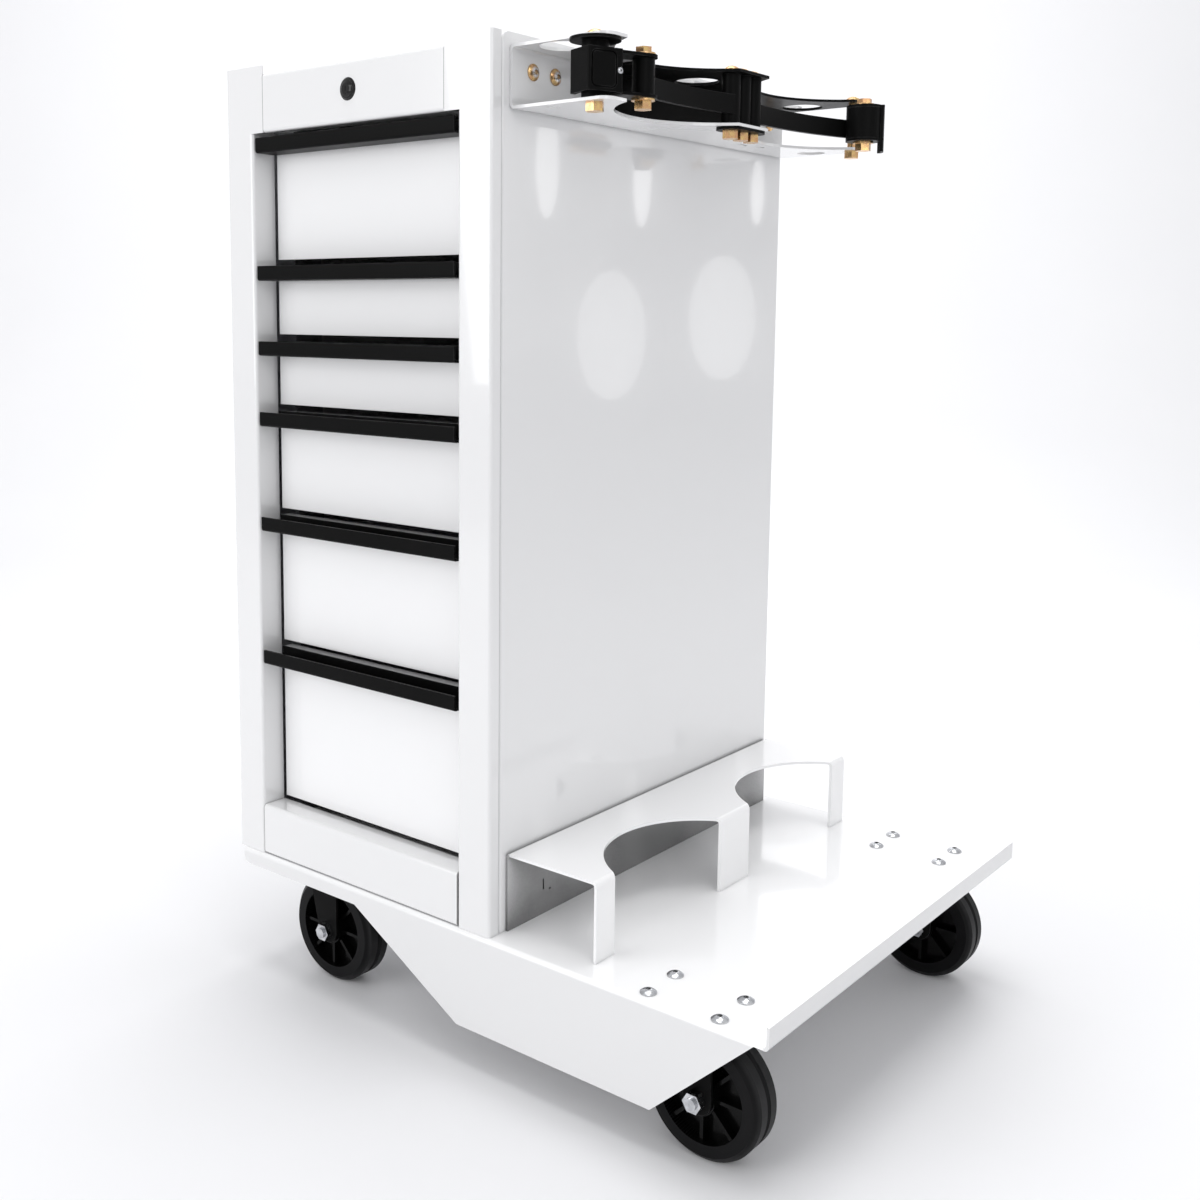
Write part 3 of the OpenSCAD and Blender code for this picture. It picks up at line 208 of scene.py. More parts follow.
print("group helper ready, outputs of a finish:", len(FINISH_OUTPUTS))

# %% [markdown]
# ## Where paint wears and where shade is painted
#
# Hands and tools rub a coat thin along its corners, and folds and seams lie in shade. Both could be
# painted by hand, one piece at a time. Here two ray-traced nodes find the places instead: the Bevel
# node bends the normal near an edge, so its difference from the true normal marks the edge, and
# Ambient Occlusion marks the folds and seams, whose colour is darkened as painted shade. Noise breaks
# the edges up, so none is even.

# %% Group for wear and dust
RAYS = 4
FLAT_TO_EDGE = (0.03, 0.25)
KEPT_TO_RUBBED = (0.42, 0.62)
OPEN_TO_SEAM = (0.75, 0.2)


def make_wear_group():
    """Two masks: one where a corner is rubbed, one where a fold gets painted shade."""
    group, into, out = new_group(
        "edge_and_seam",
        [("Edge Width", FLOAT, 1.2 * MM), ("Seam Reach", FLOAT, 8 * MM)],
        [("Edge", FLOAT), ("Seam", FLOAT)])
    rounded = add_node(group, "ShaderNodeBevel", Radius=into["Edge Width"])
    rounded.samples = RAYS
    likeness = group.nodes.new("ShaderNodeVectorMath")
    likeness.operation = "DOT_PRODUCT"
    feed(group, likeness.inputs[0], rounded.outputs["Normal"])
    feed(group, likeness.inputs[1], surface_normal(group))
    turned = maths(group, "SUBTRACT", 1.0, likeness.outputs["Value"])
    edge = spread(group, turned, between=FLAT_TO_EDGE)
    rubbing = noise(group, object_place(group), scale=55.0, detail=4.0, roughness=0.6)
    patches = spread(group, rubbing, between=KEPT_TO_RUBBED)
    feed(group, out["Edge"], maths(group, "MULTIPLY", edge, patches))
    # Painted shade: Ambient Occlusion gives the mask that darkens folds and seams.
    shelter = add_node(group, "ShaderNodeAmbientOcclusion", Distance=into["Seam Reach"])
    shelter.samples = RAYS
    feed(group, out["Seam"], spread(group, shelter.outputs["AO"], between=OPEN_TO_SEAM))
    return group


WEAR = make_wear_group()
print("group:", WEAR.name)

# %% [markdown]
# ## Laying the wear and the painted shade over a colour
#
# The two masks are used in the same way in every coat and plating: the rubbed colour shows where the
# edge mask is strong, and then painted shade darkens what lies in a fold.

# %% Wear helper
def wear_and_painted_seam_shade(tree, colour, rubbed_colour, rub, seam_colour, seam):
    """The colour with rubbed edges and painted shade in the seams, and the two masks."""
    masks = tree.nodes.new("ShaderNodeGroup")
    masks.node_tree = WEAR
    edge = maths(tree, "MULTIPLY", masks.outputs["Edge"], rub, clamp=True)
    fold = maths(tree, "MULTIPLY", masks.outputs["Seam"], seam, clamp=True)
    rubbed = blend_colours(tree, edge, colour, rubbed_colour)
    return blend_colours(tree, fold, rubbed, seam_colour), edge, fold


print("wear helper ready")

# %% [markdown]
# ## What powder coat does to light
#
# Powder coat is sprayed dry and baked until it flows. It never levels completely: up close the
# surface waves a little, like orange peel, and its gloss changes slightly from place to place. We
# could paint these as images, but noise stays sharp at any distance. The same group serves the
# white gloss, the black satin and the lock's black with other values.

# %% Group for coated sheet
CLOUD_RANGE = (0.3, 0.7)
SPECK_DEPTH = 0.12
EDGE_DULLING = 0.15
SEAM_DULLING = 0.25


def make_coat_group():
    """Colour, roughness and height of a baked coat, with its peel, its dust, its wear and painted
    shade in its seams.
    """
    group, into, out = new_group(
        "coated_sheet",
        [("Paint", COLOUR, grey(1)), ("Dust", COLOUR, grey(1)), ("Peel Scale", FLOAT, 300.0),
         ("Gloss Low", FLOAT, 0.1), ("Gloss High", FLOAT, 0.2), ("Dust Amount", FLOAT, 0.05),
         ("Rubbed", COLOUR, grey(1)), ("Rub Amount", FLOAT, 0.3), ("Seam Shade", COLOUR, grey(0)),
         ("Seam Amount", FLOAT, 0.3)],
        FINISH_OUTPUTS)
    place = object_place(group)
    peel = noise(group, place, into["Peel Scale"], detail=2.0, roughness=0.45)
    cloud = noise(group, place, scale=6.0, detail=3.0, roughness=0.55)
    speck = noise(group, place, scale=900.0, detail=1.0)
    gloss = spread(group, cloud, between=CLOUD_RANGE, onto=(into["Gloss Low"], into["Gloss High"]))
    settled = maths(group, "MULTIPLY", cloud, into["Dust Amount"])
    coat = blend_colours(group, settled, into["Paint"], into["Dust"])
    # Painted shade: the seam mask darkens the coat in folds and seams.
    colour, edge, fold = wear_and_painted_seam_shade(
        group, coat, into["Rubbed"], into["Rub Amount"], into["Seam Shade"], into["Seam Amount"])
    at_edges = maths(group, "ADD", gloss, maths(group, "MULTIPLY", edge, EDGE_DULLING))
    in_seams = maths(group, "MULTIPLY", fold, SEAM_DULLING)
    fine = maths(group, "MULTIPLY", speck, SPECK_DEPTH)
    feed(group, out["Color"], colour)
    feed(group, out["Roughness"], maths(group, "ADD", at_edges, in_seams, clamp=True))
    feed(group, out["Height"], maths(group, "ADD", peel, fine))
    return group


COAT = make_coat_group()
print("group:", COAT.name)

# %% [markdown]
# ## Plated fasteners
#
# The deck's screws are bright zinc. Those of the tank bracket have a yellow passivate, which shifts
# between straw, gold and a trace of pink. A second group makes that drift of colour from one noise,
# and the fine pitting that plating leaves on cut threads and hexagons from another.

# %% Group for plating
DRIFT_TO_SHADE = (0.35, 0.68)
DRIFT_TO_DULL = (0.3, 0.7)
PLATED_SEAM = 0.6


def make_plating_group():
    """Colour, roughness and height of plated metal whose colour drifts from place to place."""
    group, into, out = new_group(
        "plating",
        [("Bright", COLOUR, grey(1)), ("Shade", COLOUR, grey(0.7)), ("Drift Scale", FLOAT, 90.0),
         ("Smooth", FLOAT, 0.12), ("Dull", FLOAT, 0.3), ("Rubbed", COLOUR, (0.85, 0.85, 0.86, 1)),
         ("Rub Amount", FLOAT, 0.5), ("Seam Shade", COLOUR, (0.12, 0.11, 0.10, 1))],
        FINISH_OUTPUTS)
    place = object_place(group)
    drift = noise(group, place, into["Drift Scale"], detail=3.0)
    pits = noise(group, place, scale=1400.0, detail=2.0)
    shaded = spread(group, drift, between=DRIFT_TO_SHADE)
    plated = blend_colours(group, shaded, into["Bright"], into["Shade"])
    # Painted shade: the seam mask darkens the plating in folds and seams.
    colour, edge, fold = wear_and_painted_seam_shade(
        group, plated, into["Rubbed"], into["Rub Amount"], into["Seam Shade"], PLATED_SEAM)
    rough = spread(group, drift, between=DRIFT_TO_DULL, onto=(into["Smooth"], into["Dull"]))
    feed(group, out["Color"], colour)
    feed(group, out["Roughness"], rough)
    feed(group, out["Height"], pits)
    return group


PLATING = make_plating_group()
print("group:", PLATING.name)

# %% [markdown]
# ## From a group to a finish
#
# A finish is one Principled shader. What is the same all over it, such as how metallic it is, is
# set on the shader itself. What changes over the surface comes from a group: colour and roughness
# directly, and the height through a Bump node, whose distance is the real depth of the relief.

# %% Finish helper
BUMP_STRENGTH = 0.6


def new_finish(name, group, settings, relief, shader_values):
    """A material with one shader, fed by a copy of the group with these settings."""
    material = bpy.data.materials.new(name)
    material.use_nodes = True
    tree = material.node_tree
    shader = tree.nodes["Principled BSDF"]
    effect = tree.nodes.new("ShaderNodeGroup")
    effect.node_tree = group
    for title, value in settings.items():
        effect.inputs[title].default_value = value
    bump = add_node(tree, "ShaderNodeBump", Height=effect.outputs["Height"], Distance=relief,
                    Strength=BUMP_STRENGTH)
    feed(tree, shader.inputs["Base Color"], effect.outputs["Color"])
    feed(tree, shader.inputs["Roughness"], effect.outputs["Roughness"])
    feed(tree, shader.inputs["Normal"], bump.outputs["Normal"])
    for title, value in shader_values.items():
        shader.inputs[title].default_value = value
    return material


print("finish helper ready")

# %% [markdown]
# ## White gloss
#
# The cabinet, deck, saddle and bracket share one white gloss coat. The cabinet's side mirrors the
# lamps, so the coat needs a low roughness under a thin clear layer, and only a trace of orange peel.

# %% White coat
WHITE_GLOSS = new_finish(
    "white_gloss_coat", COAT,
    {"Paint": (0.80, 0.80, 0.805, 1), "Dust": (0.72, 0.72, 0.71, 1), "Dust Amount": 0.10,
     "Peel Scale": 260.0, "Gloss Low": 0.10, "Gloss High": 0.17,
     "Rubbed": (0.62, 0.62, 0.63, 1), "Rub Amount": 0.25,
     # Seam Shade and Seam Amount set the painted shade in folds and seams.
     "Seam Shade": (0.30, 0.30, 0.31, 1), "Seam Amount": 0.55},
    relief=0.03 * MM,
    shader_values={"Coat Weight": 0.9, "Coat Roughness": 0.035, "Coat IOR": 1.6, "IOR": 1.5})
print("white:", WHITE_GLOSS.name)

# %% [markdown]
# ## Black satin and black gloss
#
# The pulls, gates, forks and caster plates are satin black. Satin black isn't pure black: a little
# dust and a broad highlight keep its edges readable. The lock is as dark but smoother, so it shows
# smaller and sharper highlights.

# %% Black coats
BLACK_SATIN = new_finish(
    "black_satin_coat", COAT,
    {"Paint": grey(0.003), "Dust": grey(0.02), "Dust Amount": 0.12,
     "Peel Scale": 700.0, "Gloss Low": 0.30, "Gloss High": 0.42,
     # Seam Shade and Seam Amount set the painted shade in folds and seams.
     "Rubbed": grey(0.10), "Rub Amount": 0.5, "Seam Shade": grey(0.002), "Seam Amount": 0.8},
    relief=0.06 * MM, shader_values={"IOR": 1.45, "Specular IOR Level": 0.06})
BLACK_GLOSS = new_finish(
    "black_gloss_plastic", COAT,
    {"Paint": grey(0.003), "Dust": grey(0.02), "Dust Amount": 0.05,
     "Peel Scale": 120.0, "Gloss Low": 0.05, "Gloss High": 0.10,
     "Rubbed": grey(0.04), "Rub Amount": 0.3, "Seam Shade": grey(0.002), "Seam Amount": 0.5},
    relief=0.02 * MM,
    shader_values={"Specular IOR Level": 0.25, "Coat Weight": 0.25, "Coat Roughness": 0.03})
print("black:", BLACK_SATIN.name, BLACK_GLOSS.name)

# %% [markdown]
# ## The same coat in other places
#
# One paint doesn't look the same all over. The drawer fronts and the deck's top get painted light: a
# shade lighter than the frame, the deck most where it faces up. The deck's coat is also scuffed. A new
# finish for each would lose the shared detail, so each one is a copy of the white coat in which the
# finished colour passes through one more step.

# %% Copies of the white coat
# Factors of painted light: the drawers all over, the deck from its sides to its top.
PAINTED_LIGHT_FACTOR = 1.13
SIDE_TO_TOP_PAINTED_LIGHT = (0.97, 1.18)
SCUFFED_COAT = 0.3


def coat_copy(name, step):
    """A copy of the white coat whose colour passes through the step, a function of tree and colour."""
    material = WHITE_GLOSS.copy()
    material.name = name
    tree = material.node_tree
    base = tree.nodes["Principled BSDF"].inputs["Base Color"]
    feed(tree, base, step(tree, base.links[0].from_socket))
    return material


def times(tree, colour, factor):
    """The colour with its red, green and blue multiplied by the factor."""
    node = tree.nodes.new("ShaderNodeVectorMath")
    node.operation = "SCALE"
    feed(tree, node.inputs[0], colour)
    feed(tree, node.inputs["Scale"], factor)
    return node.outputs[0]


def lighter(tree, colour):
    """Painted light: a shade lighter all over."""
    return times(tree, colour, PAINTED_LIGHT_FACTOR)


def painted_light_from_above(tree, colour):
    """Painted light: lighter where the surface faces up, a little darker where it stands upright or
    faces down.
    """
    upward = along_axes(tree, surface_normal(tree))[2]
    return times(tree, colour, spread(tree, upward, onto=SIDE_TO_TOP_PAINTED_LIGHT))


PAINTED_LIGHT_WHITE = coat_copy("painted_light_white_coat", lighter)
DECK_WHITE = coat_copy("deck_white_coat", painted_light_from_above)
DECK_WHITE.node_tree.nodes["Principled BSDF"].inputs["Coat Weight"].default_value = SCUFFED_COAT
print("copies:", PAINTED_LIGHT_WHITE.name, DECK_WHITE.name)

# %% [markdown]
# ## Painted shade on the back of the saddle
#
# The saddle gets painted light too, a shade lighter all over, and painted shade on its back flange
# under the saddle's own top. A lamp can't darken one flange alone, so its colour does: Ambient
# Occlusion says how sheltered a point is, and two cuts by place keep the painted shade on the flange.

# %% Finish of the saddle
SHELTER_REACH = 140 * MM
SHELTER_RAYS = 32
OPEN_TO_SHELTERED = (0.8, 0.4)
FLANGE_DEPTH = 5 * MM
TOP_MARGIN = 1 * MM
FLANGE_SHADE = grey(0.11)


def dark_saddle_back(tree, colour):
    """Painted light all over, and painted shade on the back flange where the saddle's own top keeps
    the light away.
    """
    shelter = add_node(tree, "ShaderNodeAmbientOcclusion", Distance=SHELTER_REACH)
    shelter.samples = SHELTER_RAYS
    hidden = spread(tree, shelter.outputs["AO"], between=OPEN_TO_SHELTERED)
    low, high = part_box("tank_saddle")
    across, _, height = along_axes(tree, object_place(tree))
    behind = maths(tree, "LESS_THAN", across, low.x + FLANGE_DEPTH)
    below = maths(tree, "LESS_THAN", height, high.z - TOP_MARGIN)
    mask = maths(tree, "MULTIPLY", hidden, maths(tree, "MULTIPLY", behind, below))
    return blend_colours(tree, mask, lighter(tree, colour), FLANGE_SHADE)


SADDLE_WHITE = coat_copy("saddle_white_coat", dark_saddle_back)
print("saddle:", SADDLE_WHITE.name)

# %% [markdown]
# ## Joints beside the rails
#
# The rails of the front frame butt against the stiles, and paint leaves a fine line at each joint.
# A groove in the mesh would be thinner than the paint, so the line is in the colour: a rail's box
# gives its two ends, and the last part of a millimetre there is grey.

# %% Finish of the rails
JOINT_LINE = 0.8 * MM
JOINT_SHADE = grey(0.25)


def rail_finish(name):
    """The white coat with a fine grey line at both ends of this rail."""
    low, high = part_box(name)
    middle, half = (low.x + high.x) / 2, (high.x - low.x) / 2

    def joint_line(tree, colour):
        along = along_axes(tree, object_place(tree))[0]
        from_middle = maths(tree, "ABSOLUTE", maths(tree, "SUBTRACT", along, middle))
        line = maths(tree, "GREATER_THAN", from_middle, half - JOINT_LINE)
        return blend_colours(tree, line, colour, JOINT_SHADE)

    return coat_copy(name + "_white_coat", joint_line)


RAIL_FINISH = {name: rail_finish(name) for name in ("top_rail", "bottom_rail")}
print("rails:", len(RAIL_FINISH))

# %% [markdown]
# ## Zinc in three shades
#
# The same plating group makes the bright zinc of the deck's screws and the wheels' axles, the yellow
# zinc of the bracket's bolts and the dull galvanised steel of the slides. Only the two colours, the
# size of the drift between them, the smoothness and the depth of the pits change.

# %% Plated finishes
BRIGHT_ZINC = new_finish(
    "bright_zinc", PLATING,
    {"Bright": (0.66, 0.67, 0.69, 1), "Shade": (0.40, 0.41, 0.43, 1), "Drift Scale": 120.0,
     "Smooth": 0.14, "Dull": 0.30},
    relief=0.02 * MM, shader_values={"Metallic": 1.0})
YELLOW_ZINC = new_finish(
    "yellow_zinc", PLATING,
    {"Bright": (0.86, 0.60, 0.26, 1), "Shade": (0.66, 0.36, 0.20, 1), "Drift Scale": 160.0,
     "Smooth": 0.18, "Dull": 0.34},
    relief=0.03 * MM, shader_values={"Metallic": 1.0})
SLIDE_STEEL = new_finish(
    "galvanised_steel", PLATING,
    {"Bright": (0.56, 0.57, 0.59, 1), "Shade": (0.42, 0.43, 0.45, 1), "Drift Scale": 45.0,
     "Smooth": 0.28, "Dull": 0.45},
    relief=0.03 * MM, shader_values={"Metallic": 1.0})
print("plated:", BRIGHT_ZINC.name, YELLOW_ZINC.name, SLIDE_STEEL.name)

# %% [markdown]
# ## Bolts with a rubbed face
#
# The bolts in the bracket's wall are yellow at the rim and silver on the face, where a driver has
# rubbed the passivate away. They all face the tanks, so the direction of the surface tells face
# from rim: the normal's first component is near one on the face and near zero on the rim.

# %% Finish of the wall bolts
RIM_TO_FACE = (0.86, 0.95)
RUBBED_FACE = (0.74, 0.75, 0.77, 1)


def wall_bolt_finish():
    """Yellow zinc that turns silver where the surface faces the tanks."""
    material = YELLOW_ZINC.copy()
    material.name = "rubbed_yellow_zinc"
    tree = material.node_tree
    base = tree.nodes["Principled BSDF"].inputs["Base Color"]
    yellow = base.links[0].from_socket
    outward = along_axes(tree, surface_normal(tree))[0]
    face = spread(tree, outward, between=RIM_TO_FACE)
    feed(tree, base, blend_colours(tree, face, yellow, RUBBED_FACE))
    return material


WALL_BOLT = wall_bolt_finish()
print("wall bolts:", WALL_BOLT.name)

# %% [markdown]
# ## Wheels: one moulding, two surfaces
#
# Each wheel is a smooth black centre inside a duller tread, worn grey where it meets the floor. Both
# are one moulded piece in the frame, so the material tells them apart by the distance from the
# axle. The axle runs along Y, so that distance follows from X and Z alone.

# %% Group for wheels
WEAR_START = 60 * MM
DULL_RUBBER = (0.36, 0.52)
SMOOTH_CENTRE = (0.16, 0.26)
CENTRE_SCUFFS = 0.15
CENTRE_BLACK = grey(0.002)
TREAD_BLACK = (0.004, 0.004, 0.0045, 1)
TREAD_WORN = (0.030, 0.030, 0.031, 1)


def make_wheel_group():
    """Colour, roughness and height of a smooth centre and a scuffed tread around one axle."""
    group, into, out = new_group(
        "wheel_regions",
        [("Centre X", FLOAT, 0.0), ("Centre Z", FLOAT, 0.0), ("Rim Radius", FLOAT, 46 * MM),
         ("Tread Radius", FLOAT, 62.5 * MM)],
        FINISH_OUTPUTS)
    place = object_place(group)
    across, _, height = along_axes(group, place)
    sides = (maths(group, "SUBTRACT", across, into["Centre X"]),
             maths(group, "SUBTRACT", height, into["Centre Z"]))
    squares = [maths(group, "MULTIPLY", side, side) for side in sides]
    radius = maths(group, "SQRT", maths(group, "ADD", *squares))
    rubber = maths(group, "GREATER_THAN", radius, into["Rim Radius"])
    centre = maths(group, "SUBTRACT", 1.0, rubber)
    tread = spread(group, radius, between=(WEAR_START, into["Tread Radius"]))
    scuffs = noise(group, place, scale=420.0, detail=4.0, roughness=0.65)
    haze = noise(group, place, scale=38.0, detail=3.0)
    worn = maths(group, "MULTIPLY", tread, haze, clamp=True)
    moulded = blend_colours(group, rubber, CENTRE_BLACK, TREAD_BLACK)
    on_tread = maths(group, "MULTIPLY", rubber, spread(group, haze, onto=DULL_RUBBER))
    on_centre = maths(group, "MULTIPLY", centre, spread(group, haze, onto=SMOOTH_CENTRE))
    relief = maths(group, "ADD", rubber, CENTRE_SCUFFS)
    feed(group, out["Color"], blend_colours(group, worn, moulded, TREAD_WORN))
    feed(group, out["Roughness"], maths(group, "ADD", on_tread, on_centre))
    feed(group, out["Height"], maths(group, "MULTIPLY", scuffs, relief))
    return group


WHEEL_REGIONS = make_wheel_group()
print("group:", WHEEL_REGIONS.name)

# %% [markdown]
# ## Each wheel its own copy
#
# The distance from the axle needs the axle's place. A wheel's box is centred on its axle, so the
# frame gives it, and each wheel gets its own copy of the finish with its own centre.

# %% Finish of the wheels
WHEELS = ["front_rigid_wheel", "rear_rigid_wheel", "front_swivel_wheel", "rear_swivel_wheel"]


def wheel_finish(name):
    """The wheel's finish, centred on the middle of its box."""
    low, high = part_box(name)
    middle = (low + high) / 2
    return new_finish(
        name + "_moulding", WHEEL_REGIONS, {"Centre X": middle.x, "Centre Z": middle.z},
        relief=0.12 * MM, shader_values={"IOR": 1.45, "Specular IOR Level": 0.14})


WHEEL_FINISH = {name: wheel_finish(name) for name in WHEELS}
print("wheels:", len(WHEEL_FINISH))

# %% [markdown]
# ## Which piece wears which finish
#
# The record gives every solid a material slot, and most pieces take the finish of their slot. A few
# have a finish of their own. It goes into the object's slots and not the mesh's, so the solid stays
# as it was loaded.

# %% Assign the finishes
SLOT_FINISH = {
    "white_paint": WHITE_GLOSS, "black_paint": BLACK_SATIN, "black_moulding": BLACK_GLOSS,
    "zinc": BRIGHT_ZINC, "gold_zinc": YELLOW_ZINC, "slide_steel": SLIDE_STEEL,
}
OWN_FINISH = {
    **WHEEL_FINISH, **RAIL_FINISH, "bracket_bolts": WALL_BOLT, "tank_saddle": SADDLE_WHITE,
    "base_deck": DECK_WHITE, **{f"drawer_{count}_tray": PAINTED_LIGHT_WHITE for count in range(1, 7)},
}
SLOT_OF = {row["node"]: row["material_slot"] for row in frame["record"]["subparts"]}


def paint(piece, finish):
    """Puts the finish in the object's own slots and leaves the mesh's alone."""
    if not piece.material_slots:
        piece.data.materials.append(finish)
    for place in piece.material_slots:
        place.link = "OBJECT"
        place.material = finish


for name, piece in NODES.items():
    paint(piece, OWN_FINISH.get(name, SLOT_FINISH[SLOT_OF[name]]))
print("painted:", len(NODES), "of them with their own finish:", len(OWN_FINISH))

# %% [markdown]
# ## Edges that catch the light
#
# Real sheet edges and machined corners are never perfectly sharp, and the thin highlight along an
# edge is what tells the eye that metal is metal. A Bevel modifier gives every solid such an edge
# without changing the solid itself. The width follows the piece: more on folds and thick mouldings,
# very little on the slides. The Weighted Normal modifier keeps flat faces flat beside the bevel.

# %% Soften the edges
EDGE_WIDTH = {
    "white_paint": 0.45 * MM, "black_paint": 0.4 * MM, "black_moulding": 0.6 * MM,
    "zinc": 0.3 * MM, "gold_zinc": 0.3 * MM, "slide_steel": 0.2 * MM,
}
FOLDED = ["left_stile", "right_stile", "top_rail", "bottom_rail", "base_deck", "tank_saddle"]
FOLD_EDGE = 0.8 * MM


def soften_edges(piece, width, segments=2, angle=35):
    """Rounds edges sharper than the angle, and keeps the flat faces' shading flat."""
    bevel = piece.modifiers.new("edges", "BEVEL")
    bevel.width = width
    bevel.segments = segments
    bevel.limit_method = "ANGLE"
    bevel.angle_limit = math.radians(angle)
    bevel.use_clamp_overlap = True
    normals = piece.modifiers.new("flat_faces", "WEIGHTED_NORMAL")
    normals.keep_sharp = True


for name, piece in NODES.items():
    soften_edges(piece, FOLD_EDGE if name in FOLDED else EDGE_WIDTH[SLOT_OF[name]])
print("softened:", len(NODES), "of them folded:", len(FOLDED))

# %% [markdown]
# ## Paint for the floor
#
# A floor of one flat white looks like paper. A very soft noise changes its tone by a hundredth or
# two and its roughness by a few, as rolled paint does. White paint on a white ground is only seen by
# its shading, so the floor is about as white as the cart and the lamps do the rest.

# %% Floor finish
FLOOR_TONES = ((0.81, 0.81, 0.825, 1), (0.83, 0.83, 0.84, 1))
FLOOR_ROUGHNESS = (0.5, 0.6)


def floor_finish():
    """A white paint that varies softly over half a metre or so."""
    material = bpy.data.materials.new("studio_white")
    material.use_nodes = True
    tree = material.node_tree
    shader = tree.nodes["Principled BSDF"]
    clouds = noise(tree, object_place(tree), scale=2.0, detail=2.0)
    feed(tree, shader.inputs["Base Color"], blend_colours(tree, clouds, *FLOOR_TONES))
    feed(tree, shader.inputs["Roughness"], spread(tree, clouds, onto=FLOOR_ROUGHNESS))
    return material


FLOOR_WHITE = floor_finish()
print("floor finish:", FLOOR_WHITE.name)

# %% [markdown]
# ## A floor that becomes a wall
#
# The cart stands on a white floor that fades into a white wall, so there is no horizon. A floor and
# a wall with a corner would show a line between them. One long sweep does both: flat under the cart,
# then curved up behind it.

# %% Floor that sweeps up behind
def add_sweep(reach=5.0, half_width=20.0, rise=5.0, bend=2.4, steps=24):
    """A floor whose far side, away from the camera, bends up into a wall."""
    profile = [(-reach, 0.0), (reach - bend, 0.0)]
    for step in range(1, steps + 1):
        turn = math.pi / 2 * step / steps
        profile.append((reach - bend + bend * math.sin(turn), bend - bend * math.cos(turn)))
    profile.append((reach, rise))
    points = []
    for side in (-half_width, half_width):
        points += [(side, along, height) for along, height in profile]
    count = len(profile)
    faces = [(i, i + 1, count + i + 1, count + i) for i in range(count - 1)]
    mesh = bpy.data.meshes.new("sweep")
    mesh.from_pydata(points, [], faces)
    for polygon in mesh.polygons:
        polygon.use_smooth = True
    sweep = bpy.data.objects.new("studio_floor", mesh)
    sweep.rotation_euler.z = CAMERA_AZIMUTH
    bpy.context.scene.collection.objects.link(sweep)
    return sweep


floor = add_sweep()
floor.data.materials.append(FLOOR_WHITE)
print("floor:", len(floor.data.polygons), "faces")

# %% [markdown]
# ## Lamps of a real size
#
# A point light would give hard shadows and tiny highlights. Area lights are panels of a real size,
# as softboxes are, so shadows fade with distance and the gloss shows long soft shapes. They are
# uneven on purpose: strong ones above and in front, weak ones at the tank side and behind. The
# camera sees only their light, never the panels.

# %% Lights
FLOOR_MIDDLE = (0.0, 0.0, 0.0)
CART_MIDDLE = (0.0, 0.0, 0.55)


def aim(thing, target):
    """Turns a lamp so that it shines at the target."""
    direction = Vector(target) - thing.location
    thing.rotation_euler = direction.to_track_quat("-Z", "Y").to_euler()


def add_softbox(name, place, target, size, power, shape="RECTANGLE"):
    """A flat lamp of this width and height in metres and this power in watts."""
    data = bpy.data.lights.new(name, "AREA")
    data.shape = shape
    data.size, data.size_y = size
    data.energy = power
    lamp = bpy.data.objects.new(name, data)
    lamp.location = place
    lamp.visible_camera = False
    bpy.context.scene.collection.objects.link(lamp)
    aim(lamp, target)
    return lamp


LAMPS = [
    add_softbox("overhead", (0.0, 0.0, 3.0), FLOOR_MIDDLE, size=(1.8, 1.8), power=38),
    add_softbox("tank_side", (3.0, -1.9, 2.3), CART_MIDDLE, size=(1.6, 2.0), power=14),
    add_softbox("front_fill", (-1.4, -3.4, 1.5), CART_MIDDLE, size=(2.4, 2.0), power=36),
    add_softbox("rear_rim", (-1.5, 2.8, 2.2), CART_MIDDLE, size=(2.0, 1.6), power=10),
]
print("lamps:", len(LAMPS))

# %% [markdown]
# ## Light on the wall
#
# The wall stands far behind the cart, so the lamps around the cart would leave it grey. Two more
# panels hang between the cart and the wall and face the wall. Their places are measured away from
# the camera and across its view, because the wall was turned to face it.

# %% Wall lights
AWAY = Vector((-math.sin(CAMERA_AZIMUTH), math.cos(CAMERA_AZIMUTH), 0))
ACROSS = Vector((math.cos(CAMERA_AZIMUTH), math.sin(CAMERA_AZIMUTH), 0))
UP = Vector((0, 0, 1))


def seen_from_camera(away, across, up):
    """A place given by its distances beyond the cart, to the right of it and above the floor."""
    return AWAY * away + ACROSS * across + UP * up


def add_wall_wash(side):
    """A panel that lights the left part of the wall for a side of -1, the right part for 1."""
    place = seen_from_camera(away=2.2, across=1.6 * side, up=3.4)
    target = seen_from_camera(away=5.0, across=0.8 * side, up=1.0)
    return add_softbox("wall_wash", place, target, size=(2.6, 1.0), power=34)


LAMPS += [add_wall_wash(side) for side in (-1, 1)]
print("lamps:", len(LAMPS))

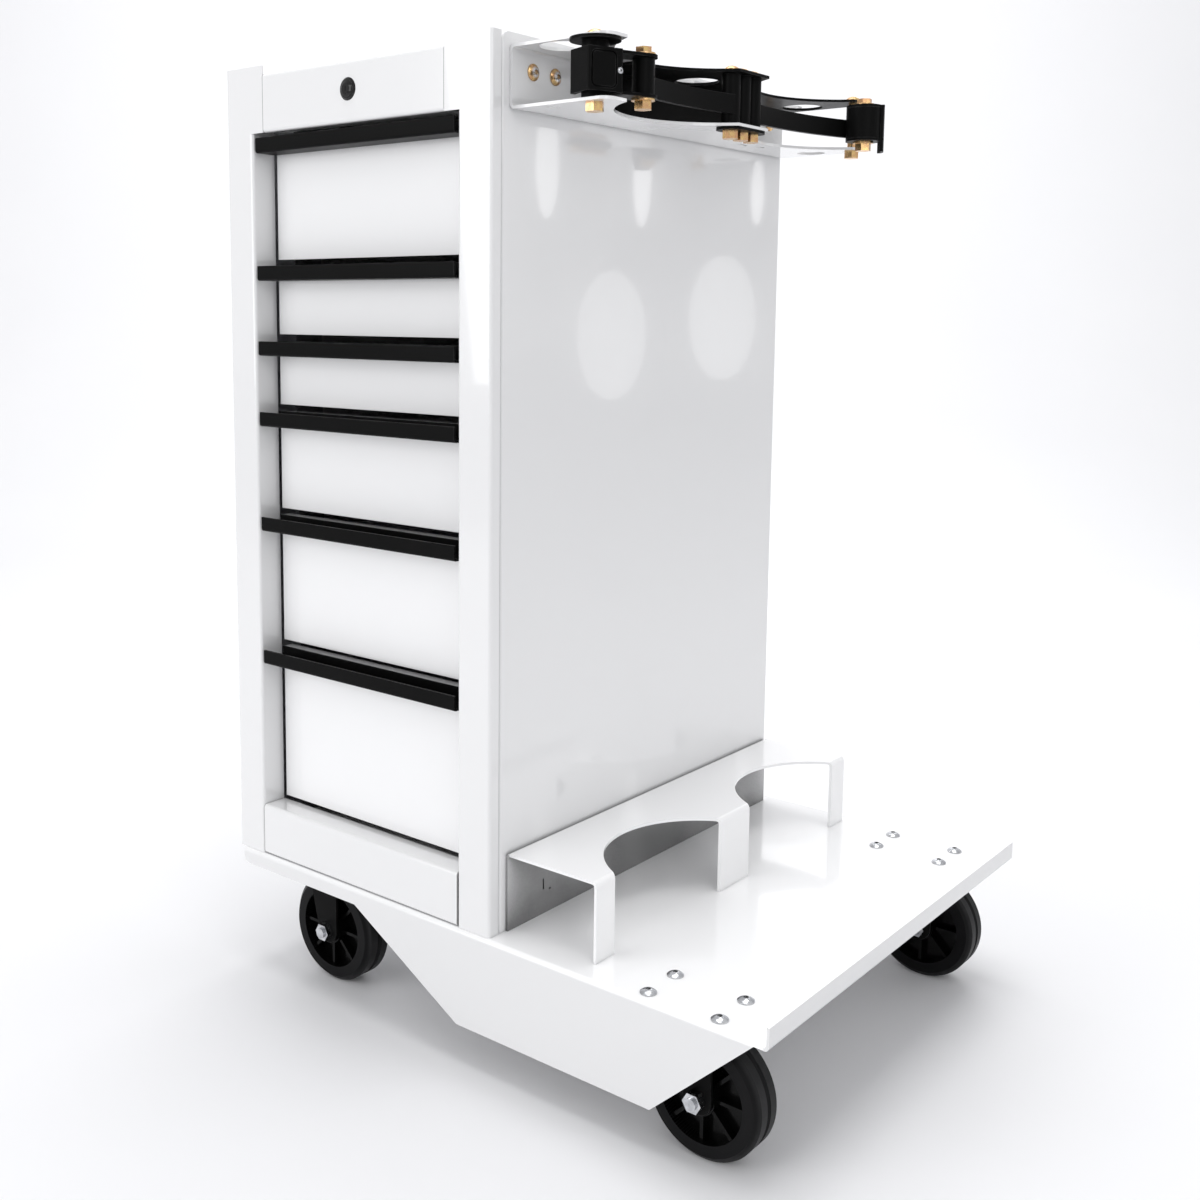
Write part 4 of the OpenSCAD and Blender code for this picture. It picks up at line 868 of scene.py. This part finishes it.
# %% [markdown]
# ## Lamps seen in the side panel
#
# Gloss shows only if it has something to mirror. The cabinet's side is a flat mirror at a known
# place, so a lamp can be hung exactly where its reflection is wanted: we choose the spot on the
# panel and the size it should look, follow the camera's ray to it, and turn the ray back about the
# panel's normal, which is the X axis. The lamp hangs 1.6 times as far from the spot as the camera
# does, and is enlarged to match. Three narrow ones stand near the top, two wider ones below.

# %% Mirrored lamps
BEYOND = 1.6
REFLECTIONS = [
    {"depth_share": 0.13, "height": 0.945, "size": (0.024, 0.11), "power": 0.10},
    {"depth_share": 0.44, "height": 0.94, "size": (0.020, 0.10), "power": 0.08},
    {"depth_share": 0.90, "height": 0.945, "size": (0.016, 0.08), "power": 0.05},
    {"depth_share": 0.34, "height": 0.77, "size": (0.075, 0.14), "power": 0.16},
    {"depth_share": 0.76, "height": 0.79, "size": (0.08, 0.15), "power": 0.17},
]


def hang_mirrored(depth_share, height, size, power):
    """A lamp whose reflection stands at a share of the panel's depth and a height above the floor."""
    low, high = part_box("right_side_panel")
    spot = Vector((high.x, low.y + depth_share * (high.y - low.y), height))
    ray = spot - CAMERA_PLACE
    back = Vector((-ray.x, ray.y, ray.z))
    grown = [length * (1 + BEYOND) for length in size]
    return add_softbox("mirrored_lamp", spot + back * BEYOND, spot, grown, power, shape="ELLIPSE")


LAMPS += [hang_mirrored(**row) for row in REFLECTIONS]
print("lamps:", len(LAMPS), "of them mirrored:", len(REFLECTIONS))

# %% [markdown]
# ## Light from all round
#
# A room with pale walls fills every shadow a little. An even sky of low strength does this, and it
# also gives the black pieces something pale to show along their edges. The Standard view keeps white
# white, where a film-like view would grey it.

# %% Sky and view
SKY_COLOUR = (0.98, 0.985, 1.0, 1)
SKY_STRENGTH = 0.73


def set_sky(colour, strength):
    """One even light from every direction."""
    world = bpy.data.worlds.new("studio_air")
    bpy.context.scene.world = world
    world.use_nodes = True
    background = world.node_tree.nodes["Background"]
    background.inputs["Color"].default_value = colour
    background.inputs["Strength"].default_value = strength
    return world


sky = set_sky(SKY_COLOUR, SKY_STRENGTH)
bpy.context.scene.view_settings.view_transform = "Standard"
bpy.context.scene.view_settings.exposure = 0.0
print("sky:", sky.name, SKY_STRENGTH)
